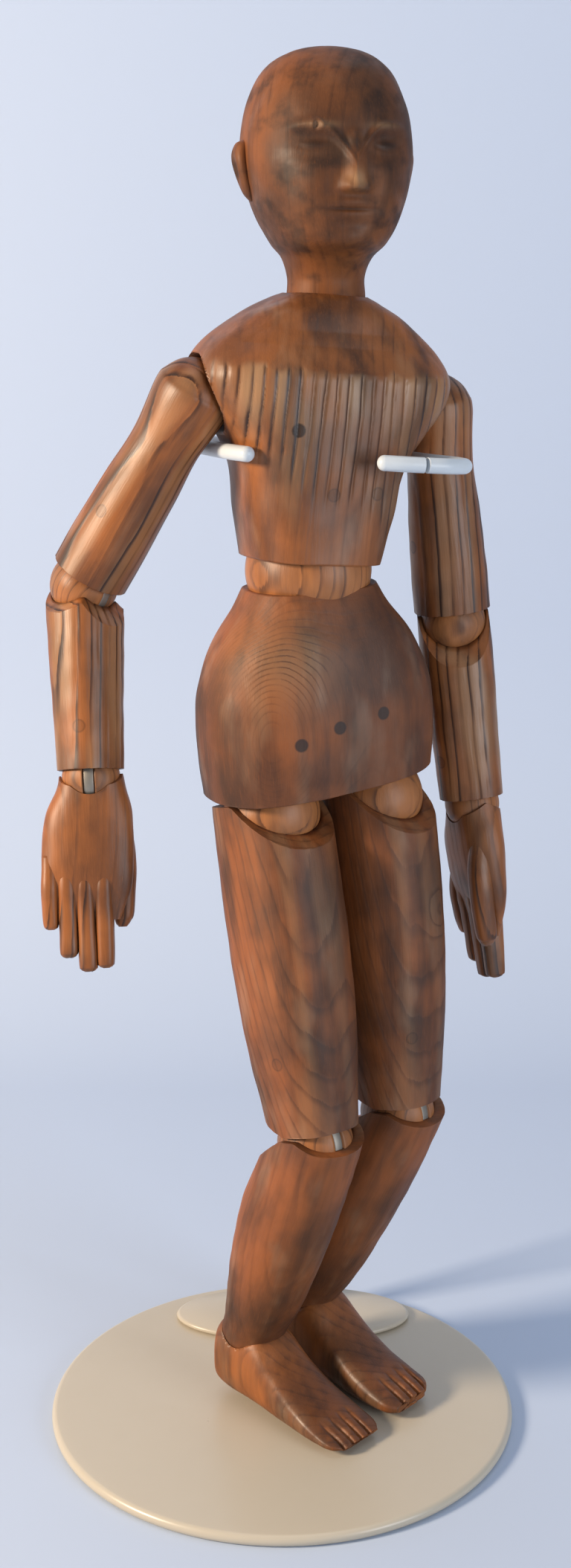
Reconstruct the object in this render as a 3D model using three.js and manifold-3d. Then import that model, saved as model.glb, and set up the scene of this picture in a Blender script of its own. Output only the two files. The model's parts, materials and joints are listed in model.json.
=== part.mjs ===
// An articulated lay figure carved in stained softwood, held by a wire clamp over a round enamelled base.
// Millimetres, +Z up, origin on the floor under the middle of the base. A heading of 0 faces -Y and
// turns towards +X. In every limb's own frame +Z runs up the limb, +X is the figure's left, -Y its front.
import * as THREE from 'three';
import { mergeVertices } from 'three/addons/utils/BufferGeometryUtils.js';
import Module from 'manifold-3d';

const wasm = await Module();
wasm.setup();

// Driving dimensions: the stand
const BASE = { radius: 100, height: 5, sheet: 1.4, rim: 2.5 };
const POST = { x: 5, y: 76, tubeRadius: 5.2, rodRadius: 3.5, tubeTop: 215, rodFoot: 120 };
const PAD = { y: 68, halfWidth: 54, halfDepth: 24, height: 2.6 };
const CLAMP = { radius: 3, height: 411.5, collarRadius: 7, collarHeight: 12 };

// Driving dimensions: the figure's limbs, measured between the centres of their joints
const LENGTH = { upperArm: 87, forearm: 77, thigh: 135, shin: 108 };
const BALL = { waist: 25, elbow: 13.5, wrist: 11.5, hip: 19.5, knee: 15.5 };
const SHOULDER = { right: 51, left: 54.5, back: 6, up: 64, head: 15.2, scoop: 17.4 };
const HIP = { out: 23.4, back: -5, up: -95.5 };
const NECK = { up: 104, seat: 18, rise: 10 };
const ANKLE = 13.2;
const CLEAR = 0.3;
const SOLE_GAP = 1;

// Driving dimensions: the iron tongues with their pins, the pegs of the balls and the dowels that hold them
const TONGUE = { thick: 4.2, wide: 9, eye: 6, pin: 2 };
const PEG = 4.8;
const DOWEL = 2.5;

// The posture, in degrees: how far each piece leans from the vertical and which way it heads
const CHEST = { heading: 24, roll: 4 };
const PELVIS = { heading: 25, roll: -3 };
// The lower edge of the pelvis rises towards the figure's left, in degrees.
const HEM_RISE = 3.7;
const HEAD_HEADING = 15;
const WAIST = new THREE.Vector3(10.5, 8, 366.5);
const ARMS = {
  right: { side: -1, upper: [32.3, -108], fore: [16.5, 8], thumb: 90, upperDowel: -85, foreDowel: -65 },
  left: { side: 1, upper: [6.8, 112], fore: [8.6, 50], thumb: 24, upperDowel: -70, foreDowel: -60 },
};
const LEGS = {
  right: { side: -1, thigh: [12.8, 36], shin: [-21.5, 41], foot: 47, dowel: -70 },
  left: { side: 1, thigh: [7.4, 36], shin: [-25.4, 53], foot: 48, dowel: -30 },
};

// How far the joints travel from the posture, in degrees
const TRAVEL = { hip: 34, wrist: 28, ankle: 14, waist: 14, raise: 40, turn: 12 };

// How far the hollowed limb ends let elbow and knee fold in all, counted from a straight limb
const FOLD = { elbow: 62, knee: 78, kneeBevel: 20 };

const FINISH = {
  stainedPine: { color: 0x6b3f22, roughness: 0.45, metalness: 0 },
  paleWood: { color: 0x9a6434, roughness: 0.5, metalness: 0 },
  dowelWood: { color: 0x5a3a24, roughness: 0.55, metalness: 0 },
  greyIron: { color: 0x9a958c, roughness: 0.5, metalness: 0.8 },
  creamEnamel: { color: 0xd9cdb0, roughness: 0.3, metalness: 0 },
  whiteVinyl: { color: 0xe8ebee, roughness: 0.4, metalness: 0 },
};

const rad = THREE.MathUtils.degToRad;
const vec = (x, y, z) => new THREE.Vector3(x, y, z);
const moved = (x, y, z) => new THREE.Matrix4().makeTranslation(x, y, z);
const leftOf = (heading) => vec(Math.cos(rad(heading)), Math.sin(rad(heading)), 0);

// Unit vector down a limb that leans from the vertical towards a heading.
function downward([lean, heading]) {
  const reach = Math.sin(rad(lean));
  return vec(reach * Math.sin(rad(heading)), -reach * Math.cos(rad(heading)), -Math.cos(rad(lean)));
}

// Frame whose Z points against `down` and whose X lies as near to `across` as it can.
function frameAt(origin, down, across) {
  const z = down.clone().negate().normalize();
  const y = z.clone().cross(across).normalize();
  const x = y.clone().cross(z);
  return new THREE.Matrix4().makeBasis(x, y, z).setPosition(origin);
}

// Frame of a trunk piece: turned to its heading, then rolled about its own fore-and-aft axis.
function trunkFrame(origin, { heading, roll }) {
  const turn = new THREE.Euler(0, rad(roll), rad(heading), 'ZYX');
  return new THREE.Matrix4().makeRotationFromEuler(turn).setPosition(origin);
}

const axisOf = (frame, index) => vec().setFromMatrixColumn(frame, index);
const originOf = (frame) => vec().setFromMatrixPosition(frame);
const inside = (frame, other) => frame.clone().invert().multiply(other);

// A closed geometry as a solid, moved by an optional matrix.
function solid(geometry, place = new THREE.Matrix4()) {
  const bare = geometry.clone().deleteAttribute('normal').deleteAttribute('uv').applyMatrix4(place);
  const merged = mergeVertices(bare);
  const vertProperties = Float32Array.from(merged.attributes.position.array);
  const triVerts = Uint32Array.from(merged.index.array);
  return new wasm.Manifold(new wasm.Mesh({ numProp: 3, vertProperties, triVerts }));
}

const cut = (body, ...tools) => tools.reduce((left, tool) => left.subtract(tool), body);
const join = (body, ...others) => others.reduce((whole, other) => whole.add(other), body);

function geometryOf(body) {
  const { vertProperties, triVerts } = body.getMesh();
  const geometry = new THREE.BufferGeometry();
  geometry.setAttribute('position', new THREE.BufferAttribute(vertProperties, 3));
  geometry.setIndex(new THREE.BufferAttribute(triVerts, 1));
  geometry.computeVertexNormals();
  return geometry;
}

// A carved form along Z: a drum whose rings follow smooth stations [z, half width, half depth, x, y].
// `square` is 2 for an ellipse and grows towards a box.
function carve(stations, { sides = 12, steps = 7, square = 2.4 } = {}) {
  const girth = new THREE.CatmullRomCurve3(stations.map(([z, wide, deep]) => vec(wide, deep, z)));
  const shift = new THREE.CatmullRomCurve3(stations.map(([, , , x = 0, y = 0]) => vec(x, y, 0)));
  const bulge = (c) => Math.sign(c) * Math.abs(c) ** (2 / square);
  const form = new THREE.CylinderGeometry(1, 1, 1, sides, steps).rotateX(Math.PI / 2);
  const place = form.attributes.position;
  for (let i = 0; i < place.count; i += 1) {
    const along = 0.5 - place.getZ(i);
    const ring = girth.getPoint(along);
    const offset = shift.getPoint(along);
    const x = offset.x + ring.x * bulge(place.getX(i));
    const y = offset.y + ring.y * bulge(place.getY(i));
    place.setXYZ(i, x, y, ring.z);
  }
  return form;
}

// A faceted sphere large enough for its flats to clear a true sphere of that radius.
const hollow = (radius, place) => {
  const sides = 12;
  const rings = 8;
  const outer = radius / Math.cos(Math.PI / sides) / Math.cos(Math.PI / rings / 2);
  return solid(new THREE.SphereGeometry(outer, sides, rings), place);
};
const block = (x, y, z, place) => solid(new THREE.BoxGeometry(x, y, z), place);

// A round rod along X, Y or Z between two places on that axis.
function rod(axis, radius, from, to, place = new THREE.Matrix4(), sides = 8) {
  const form = new THREE.CylinderGeometry(radius, radius, to - from, sides).translate(0, (from + to) / 2, 0);
  if (axis === 'x') form.rotateZ(-Math.PI / 2);
  if (axis === 'z') form.rotateX(Math.PI / 2);
  return solid(form, place);
}

// A rod that leaves the limb's axis at height z, `degrees` round from the front towards the left.
function radialRod(radius, from, to, z, degrees) {
  const place = moved(0, 0, z).multiply(new THREE.Matrix4().makeRotationZ(rad(degrees)));
  return rod('y', radius, -to, -from, place);
}

// The space above a limb end: flat at `top` and tilted about X by each angle, to be cut away.
function above(top, tilts) {
  const spread = 200;
  return tilts.map((tilt) => {
    const place = new THREE.Matrix4().makeRotationX(rad(tilt)).multiply(moved(0, 0, top + spread / 2));
    return block(spread, spread, spread, place);
  });
}

// The space below a limb end, tilted about X so that the back of the limb is cut higher than its front.
function beneath(foot, tilt, place) {
  const spread = 200;
  const turned = new THREE.Matrix4().makeRotationX(rad(tilt)).multiply(moved(0, 0, foot - spread / 2));
  return block(spread, spread, spread, place.clone().multiply(turned));
}

// A turned ball whose peg stands up along Z, slotted square to X for a tongue that swings below.
function slottedBall(radius, pegTop, pegRadius = PEG) {
  const outline = [];
  const last = Math.acos(pegRadius / radius);
  const bands = 6;
  for (let k = 0; k <= bands; k += 1) {
    const angle = -Math.PI / 2 + (k / bands) * (last + Math.PI / 2);
    outline.push(new THREE.Vector2(k ? radius * Math.cos(angle) : 0, radius * Math.sin(angle)));
  }
  outline.push(new THREE.Vector2(pegRadius, pegTop), new THREE.Vector2(0, pegTop));
  const ball = solid(new THREE.LatheGeometry(outline, 12).rotateX(Math.PI / 2));
  const slotTop = TONGUE.eye + CLEAR;
  const depth = radius * 2;
  const slot = block(TONGUE.thick + 2 * CLEAR, radius * 3, depth, moved(0, 0, slotTop - depth / 2));
  return cut(ball, slot, rod('x', TONGUE.pin + CLEAR, -radius * 2, radius * 2));
}

// An iron tongue: a round eye with its cross pin along X, and a flat stem down to `foot`.
function tongue(foot, pinHalf, wide = TONGUE.wide) {
  const eye = rod('x', TONGUE.eye, -TONGUE.thick / 2, TONGUE.thick / 2);
  const stem = block(TONGUE.thick, wide, foot, moved(0, 0, -foot / 2));
  return join(eye, stem, rod('x', TONGUE.pin, -pinHalf, pinHalf));
}

// The pocket in a limb that the stem of its tongue is driven into.
function pocket(foot, wide = TONGUE.wide) {
  const depth = foot + CLEAR;
  return block(TONGUE.thick + 2 * CLEAR, wide + 2 * CLEAR, depth, moved(0, 0, -depth / 2));
}

const figure = new THREE.Group();
const joints = [];

function add(name, body, finish, frame = new THREE.Matrix4()) {
  const geometry = body.isBufferGeometry ? body : geometryOf(body);
  const mesh = new THREE.Mesh(geometry, new THREE.MeshStandardMaterial(FINISH[finish]));
  mesh.name = name;
  mesh.applyMatrix4(frame);
  figure.add(mesh);
}

function hinge(name, parent, child, at, axis, range) {
  joints.push({ name, type: 'hinge', parent, child, at, axis, range });
}

// Frames of the trunk, the neck and the waist
const chestFrame = trunkFrame(WAIST, CHEST);
const pelvisFrame = trunkFrame(WAIST, PELVIS);
const waistFrame = trunkFrame(WAIST, { heading: PELVIS.heading, roll: 0 });
const neckPoint = vec(0, 2, NECK.up + NECK.rise).applyMatrix4(chestFrame);
const headFrame = trunkFrame(neckPoint, { heading: HEAD_HEADING, roll: 0 });

// The stand: a pressed plate with a rolled rim, an oval pad, a telescopic post
function buildStand() {
  const rim = new THREE.Shape();
  rim.moveTo(0, BASE.height - BASE.sheet);
  rim.lineTo(BASE.radius - 2 * BASE.rim, BASE.height - BASE.sheet);
  rim.lineTo(BASE.radius - 2 * BASE.rim, 0);
  rim.lineTo(BASE.radius - BASE.rim, 0);
  rim.absarc(BASE.radius - BASE.rim, BASE.rim, BASE.rim, -Math.PI / 2, Math.PI / 2);
  rim.lineTo(0, BASE.height);
  const profile = rim.getPoints(3);
  add('base_plate', solid(new THREE.LatheGeometry(profile, 56).rotateX(Math.PI / 2)), 'creamEnamel');

  const oval = new THREE.Shape();
  oval.absellipse(0, 0, PAD.halfWidth, PAD.halfDepth, 0, 2 * Math.PI);
  const depth = PAD.height - 1;
  const lip = { depth, bevelThickness: 0.5, bevelSize: 1, bevelSegments: 2, curveSegments: 20 };
  const pad = solid(new THREE.ExtrudeGeometry(oval, lip), moved(0, 0, 0.5));
  const padFoot = BASE.height + CLEAR;
  const socket = rod('z', POST.tubeRadius + CLEAR, 1, 20, moved(0, POST.y - PAD.y, 0), 20);
  add('post_pad', cut(pad, socket), 'creamEnamel', moved(POST.x, PAD.y, padFoot));

  const wall = [
    [POST.rodRadius + CLEAR, 0],
    [POST.tubeRadius, 0],
    [POST.tubeRadius, POST.tubeTop],
    [POST.rodRadius + CLEAR, POST.tubeTop],
    [POST.rodRadius + CLEAR, 0],
  ].map(([r, z]) => new THREE.Vector2(r, z));
  const tube = solid(new THREE.LatheGeometry(wall, 20).rotateX(Math.PI / 2));
  add('post_tube', tube, 'creamEnamel', moved(POST.x, POST.y, padFoot + 1 + CLEAR));

  const rodTop = CLAMP.height + CLAMP.collarHeight / 2;
  add('post_rod', rod('z', POST.rodRadius, POST.rodFoot, rodTop), 'greyIron', moved(POST.x, POST.y, 0));
}

// The wire clamp: a collar on the post's rod and two covered arms that close round the chest
function buildClamp() {
  const half = CLAMP.collarHeight / 2;
  const collar = rod('z', CLAMP.collarRadius, -half, half, undefined, 16);
  const bore = rod('z', POST.rodRadius + CLEAR, -half * 2, half * 2);
  add('clamp_collar', cut(collar, bore), 'greyIron', moved(POST.x, POST.y, CLAMP.height));

  const rightRoute = [
    [12, 64.5], [-6, 61], [-25, 50], [-36.5, 33],
    [-39.2, 15], [-39.1, -4], [-38.3, -12], [-35.9, -20],
  ];
  const leftRoute = [
    [28.8, 63.4], [35, 56], [39.2, 40], [40.5, 22], [40.5, 2],
    [42, -15], [46.5, -29], [44.5, -39.5], [35, -44], [26, -43.6],
  ];
  const sleeveRoute = [[25.2, -43.5], [16, -41.6], [7.5, -38.6]];
  const section = new THREE.Shape();
  section.absarc(0, 0, CLAMP.radius, 0, 2 * Math.PI);
  const wire = (name, route, steps) => {
    const level = trunkFrame(vec(13.2, 9.2, CLAMP.height), CHEST);
    const path = new THREE.CatmullRomCurve3(route.map(([x, y]) => vec(x, y, 0).applyMatrix4(level)));
    const tube = new THREE.ExtrudeGeometry(section, { steps, extrudePath: path, curveSegments: 5 });
    add(name, solid(tube), 'whiteVinyl');
  };
  wire('clamp_arm_right', rightRoute, 20);
  wire('clamp_arm_left', leftRoute, 28);
  wire('clamp_sleeve', sleeveRoute, 3);
}

// The head and neck, carved in one piece, on a peg that turns in the chest
function buildHead() {
  const ringAt = (z) => Math.sqrt(NECK.seat ** 2 - z ** 2);
  const low = -NECK.rise;
  const skull = carve([
    [82, 2, 3, 0, 4], [80, 13.5, 17, 0, 3], [71, 24, 29, 0, 2.5], [58, 30.3, 36, 0, 2], [44, 32, 37.5, 0, 1],
    [30, 29.8, 35.8, 0, -0.6], [19, 25, 32.5, 0, -2], [11, 20, 27, 0, -3], [5, 16.2, 19, 0, -1],
    [-2, 14.8, 15], [low, ringAt(low), ringAt(low)],
    [low - 3, ringAt(low - 3), ringAt(low - 3)],
    [low - 6, ringAt(low - 6), ringAt(low - 6)],
    [-17.8, 1.5, 1.5],
  ], { sides: 18, steps: 16, square: 2.15 });
  const nose = carve(
    [[45, 2.5, 3.5, 0, -33], [36, 3.4, 5.5, 0, -34], [27, 6, 8, 0, -34], [25, 4, 5, 0, -32]],
    { sides: 8, steps: 5 },
  );
  const ear = (side) => carve(
    [
      [48, 2, 3.5, side * 31, 4], [44, 4.5, 5.5, side * 32, 4],
      [34, 4, 5, side * 31, 3], [26, 2, 2.5, side * 28, 2],
    ],
    { sides: 8, steps: 5 },
  );
  const slot = block(TONGUE.thick + 2 * CLEAR, 60, 60, moved(0, 0, TONGUE.eye + CLEAR - 30));
  const whole = join(solid(skull), solid(nose), solid(ear(1)), solid(ear(-1)));
  const pinHole = rod('x', TONGUE.pin + CLEAR, -NECK.seat * 2, NECK.seat * 2);
  const slotReach = block(60, NECK.seat * 1.1, 60, moved(0, 0, TONGUE.eye + CLEAR - 30));
  add('head', cut(whole, slot.intersect(slotReach), pinHole), 'stainedPine', headFrame);

  const shankTop = -NECK.seat - 1;
  const shank = rod('z', PEG, shankTop - 24, shankTop);
  add('neck_peg', join(tongue(3 - shankTop, 11.5), shank), 'greyIron', headFrame);
  const up = vec(0, 0, 1);
  hinge('neck_turn', 'chest', 'neck_peg', neckPoint, up, [-60, 60]);
  hinge('head_nod', 'neck_peg', 'head', neckPoint, axisOf(headFrame, 0), [-10, 10]);
}

// The chest: boxy at the waist, wide at the shoulders, sloping up to the neck
function buildChest() {
  const form = carve([
    [109, 14, 14, 0, 2], [106, 19, 18, 0, 2], [98, 31, 22.5, 0, 2], [86, 46.5, 27, 0, 2], [77, 52, 29, 0, 2],
    [66, 50, 29.5, 0, 1], [44, 34.6, 28, 0, 0], [22, 30, 26.5], [4.5, 26, 25.6],
  ], { sides: 20, steps: 12, square: 2.9 });
  const raw = solid(form);
  const neckSeat = hollow(NECK.seat + 2 * CLEAR, moved(0, 2, NECK.up + NECK.rise));
  const neckShank = rod('z', PEG + 2 * CLEAR, -NECK.seat - 26, -5, inside(chestFrame, headFrame));
  const waistBore = rod('z', 6 + 2 * CLEAR, 0, 46, inside(chestFrame, waistFrame));
  const tools = [neckSeat, neckShank, hollow(BALL.waist + CLEAR), waistBore];
  for (const side of [-1, 1]) {
    const out = side < 0 ? SHOULDER.right : SHOULDER.left;
    const bore = moved(side * out, SHOULDER.back, SHOULDER.up);
    tools.push(hollow(SHOULDER.scoop, bore));
    tools.push(side < 0 ? rod('x', PEG + 2 * CLEAR, 0, 33, bore) : rod('x', PEG + 2 * CLEAR, -33, 0, bore));
  }
  const plugs = { upper: [-15, 54.5, -14], lower: [-3.6, 29.5, -10], side: [15, 30.5, -12] };
  for (const [where, [x, z, end]] of Object.entries(plugs)) {
    tools.push(rod('y', DOWEL + CLEAR, -60, end + CLEAR, moved(x, 0, z)));
    const plug = rod('y', DOWEL, -60, end, moved(x, 0, z)).intersect(raw);
    add(`chest_dowel_${where}`, plug, 'dowelWood', chestFrame);
  }
  add('chest', cut(raw, ...tools), 'stainedPine', chestFrame);
}

// The waist ball between chest and pelvis, and the pelvis with its three plugs
function buildPelvis() {
  add('waist_ball', slottedBall(BALL.waist, 44, 6), 'stainedPine', waistFrame);
  add('waist_tongue', tongue(48, BALL.waist - 4), 'greyIron', waistFrame);
  const form = carve([
    [-6, 26, 22.5], [-14, 30.5, 25.5], [-28, 40.5, 30], [-44, 46.6, 33],
    [-58, 48.2, 34], [-74, 48, 33.5], [-87.5, 47, 32],
  ], { sides: 20, steps: 10, square: 2.6 });
  const raw = solid(form);
  const stem = pocket(48);
  const inPelvis = inside(pelvisFrame, waistFrame);
  const tools = [hollow(BALL.waist + CLEAR), stem.transform(inPelvis.elements)];
  tools.push(...above(-6.5, [-TRAVEL.waist, TRAVEL.waist]));
  const hem = moved(-48, 0, -87.5).multiply(new THREE.Matrix4().makeRotationY(rad(-HEM_RISE)));
  tools.push(block(300, 200, 40, hem.multiply(moved(48, 0, -20))));
  for (const [name, leg] of Object.entries(LEGS)) {
    const hip = inside(pelvisFrame, hipFrame(name));
    tools.push(hollow(BALL.hip + CLEAR, moved(leg.side * HIP.out, HIP.back, HIP.up)));
    tools.push(rod('z', PEG + 2 * CLEAR, 0, 44, hip));
  }
  const plugs = { right: [-16.8, -63.5, -14], middle: [-2.4, -57.5, -14], left: [16.5, -55, -14] };
  for (const [where, [x, z, end]] of Object.entries(plugs)) {
    tools.push(rod('y', DOWEL + CLEAR, -60, end + CLEAR, moved(x, 0, z)));
    const plug = rod('y', DOWEL, -60, end, moved(x, 0, z)).intersect(raw);
    add(`pelvis_dowel_${where}`, plug, 'dowelWood', pelvisFrame);
  }
  add('pelvis', cut(raw, ...tools), 'stainedPine', pelvisFrame);
  hinge('waist_turn', 'chest', 'waist_ball', WAIST, vec(0, 0, 1), [-25, 25]);
  hinge('waist_bend', 'waist_ball', 'pelvis', WAIST, axisOf(waistFrame, 0).negate(), [0, TRAVEL.waist]);
}

function kneeAxis(leg) {
  return downward(leg.thigh).cross(downward(leg.shin)).normalize();
}

function hipFrame(name) {
  const leg = LEGS[name];
  const hip = vec(leg.side * HIP.out, HIP.back, HIP.up).applyMatrix4(pelvisFrame);
  return frameAt(hip, downward(leg.thigh), kneeAxis(leg));
}

// A leg: hip ball, thigh, knee ball, shin with a rounded ankle, foot
function buildLeg(name) {
  const leg = LEGS[name];
  const hip = hipFrame(name);
  const kneeTop = hip.clone().multiply(moved(0, 0, -LENGTH.thigh));
  const knee = frameAt(originOf(kneeTop), downward(leg.shin), axisOf(hip, 0));
  const ankle = originOf(knee).addScaledVector(downward(leg.shin), LENGTH.shin);
  const foot = frameAt(ankle, vec(0, 0, -1), leftOf(leg.foot));
  const bent = leg.thigh[0] - leg.shin[0];

  add(`hip_ball_${name}`, slottedBall(BALL.hip, 42), 'paleWood', hip);
  add(`hip_tongue_${name}`, tongue(44, BALL.hip - 3), 'greyIron', hip);

  const thighEnd = -LENGTH.thigh + 6;
  const thighForm = solid(carve([
    [10, 21.8, 22], [-4, 22, 23.4], [-28, 21.8, 24.6], [-60, 21.6, 24.6],
    [-92, 20.6, 22.4], [-116, 18.4, 19.4], [thighEnd, 17.2, 17.8],
  ]));
  const dowelAt = -LENGTH.thigh + 37;
  const thigh = cut(
    thighForm,
    hollow(BALL.hip + CLEAR),
    pocket(44),
    ...above(5.6, [0, 21, 42]),
    hollow(BALL.knee + CLEAR, moved(0, 0, -LENGTH.thigh)),
    beneath(6, FOLD.kneeBevel, moved(0, 0, -LENGTH.thigh)),
    rod('z', PEG + 2 * CLEAR, -LENGTH.thigh, -LENGTH.thigh + 42),
    radialRod(DOWEL + CLEAR, PEG, 40, dowelAt, leg.dowel),
  );
  add(`thigh_${name}`, thigh, 'stainedPine', hip);
  const dowel = radialRod(DOWEL, PEG + 3 * CLEAR, 40, dowelAt, leg.dowel).intersect(thighForm);
  add(`thigh_dowel_${name}`, dowel, 'dowelWood', hip);

  add(`knee_ball_${name}`, slottedBall(BALL.knee, 40), 'paleWood', kneeTop);
  add(`knee_tongue_${name}`, tongue(40, BALL.knee - 2.5), 'greyIron', knee);
  const ankleTop = -LENGTH.shin;
  const shinForm = solid(carve([
    [8, 17.5, 17.7], [-4, 17.7, 18.2], [-24, 17.9, 19.6, 0, 0.8], [-44, 18.2, 20.2, 0, 1.6],
    [-70, 17, 18.4, 0, 1], [-86, 15.7, 16], [ankleTop + 7, 14.2, 14.2],
  ]));
  const ankleEnd = solid(new THREE.SphereGeometry(ANKLE, 12, 7), moved(0, 0, ankleTop));
  const ankleSlot = inside(knee, foot);
  const slotTop = TONGUE.eye + CLEAR;
  const tilt = block(TONGUE.thick + 2 * CLEAR, 60, 60, ankleSlot.clone().multiply(moved(0, 0, slotTop - 30)));
  const shin = cut(
    join(shinForm, ankleEnd),
    hollow(BALL.knee + CLEAR),
    pocket(40),
    ...above(4.4, [-bent, FOLD.kneeBevel - FOLD.knee]),
    tilt,
    rod('x', TONGUE.pin + CLEAR, -40, 40, ankleSlot),
  );
  add(`shin_${name}`, shin, 'stainedPine', knee);
  buildFoot(name, foot, ankle.z - BASE.height - SOLE_GAP);

  const place = originOf(hip);
  const across = axisOf(hip, 0);
  const spinAxis = axisOf(hip, 2).multiplyScalar(leg.side);
  const spin = [-TRAVEL.turn, 0];
  hinge(`hip_turn_${name}`, 'pelvis', `hip_ball_${name}`, place, spinAxis, spin);
  hinge(
    `hip_swing_${name}`, `hip_ball_${name}`, `thigh_${name}`,
    place, across.clone().negate(), [0, TRAVEL.hip],
  );
  hinge(`knee_turn_${name}`, `thigh_${name}`, `knee_ball_${name}`, originOf(knee), spinAxis, spin);
  hinge(
    `knee_bend_${name}`, `knee_ball_${name}`, `shin_${name}`,
    originOf(knee), across, [0, Math.floor(FOLD.knee - 2 - bent)],
  );
  hinge(
    `ankle_bend_${name}`, `shin_${name}`, `foot_${name}`,
    ankle, axisOf(foot, 0).negate(), [0, TRAVEL.ankle],
  );
}

// A foot: heel rounded about the ankle, instep falling to five toes cut apart by grooves
function buildFoot(name, frame, drop) {
  const inner = -LEGS[name].side;
  const station = (y, half, top, shift = 0, rise = 0) => {
    const tall = (top + drop - rise) / 2;
    return [y, half, tall, inner * shift, tall - top];
  };
  const lying = new THREE.Matrix4().makeRotationX(-Math.PI / 2);
  const form = carve([
    station(15, 8.8, -2, 0, 4.4), station(12, 11.8, 2.4, 0, 3.2),
    station(4, 13.2, 4.4, 0, 1.8), station(-10, 13.5, 2.6, 0, 0.9),
    station(-22, 13.8, -7.5, 0, 0.3), station(-36, 14.6, -17.5, 0.6),
    station(-48, 15, -23, 0.6, 0.4), station(-56.5, 14, -26.2, 0.8, 1),
    station(-61, 10, -28.4, 1.8, 2.2),
  ], { sides: 14, steps: 10, square: 2.8 });
  const grooves = [-8.5, -3.2, 1.8, 7].map((x, index) => {
    const slope = new THREE.Matrix4().makeRotationX(rad(-14));
    const place = moved(inner * x, -53 - index * 1.5, -10).multiply(slope);
    return block(1.1, 17, 14, place);
  });
  const foot = cut(
    solid(form.applyMatrix4(lying)),
    ...grooves,
    hollow(ANKLE + CLEAR),
    pocket(drop - 5),
    ...above(2.2, [0, TRAVEL.ankle + 9]),
  );
  add(`foot_${name}`, foot, 'stainedPine', frame);
  add(`ankle_tongue_${name}`, tongue(drop - 5, ANKLE - 2.5), 'greyIron', frame);
}

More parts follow.
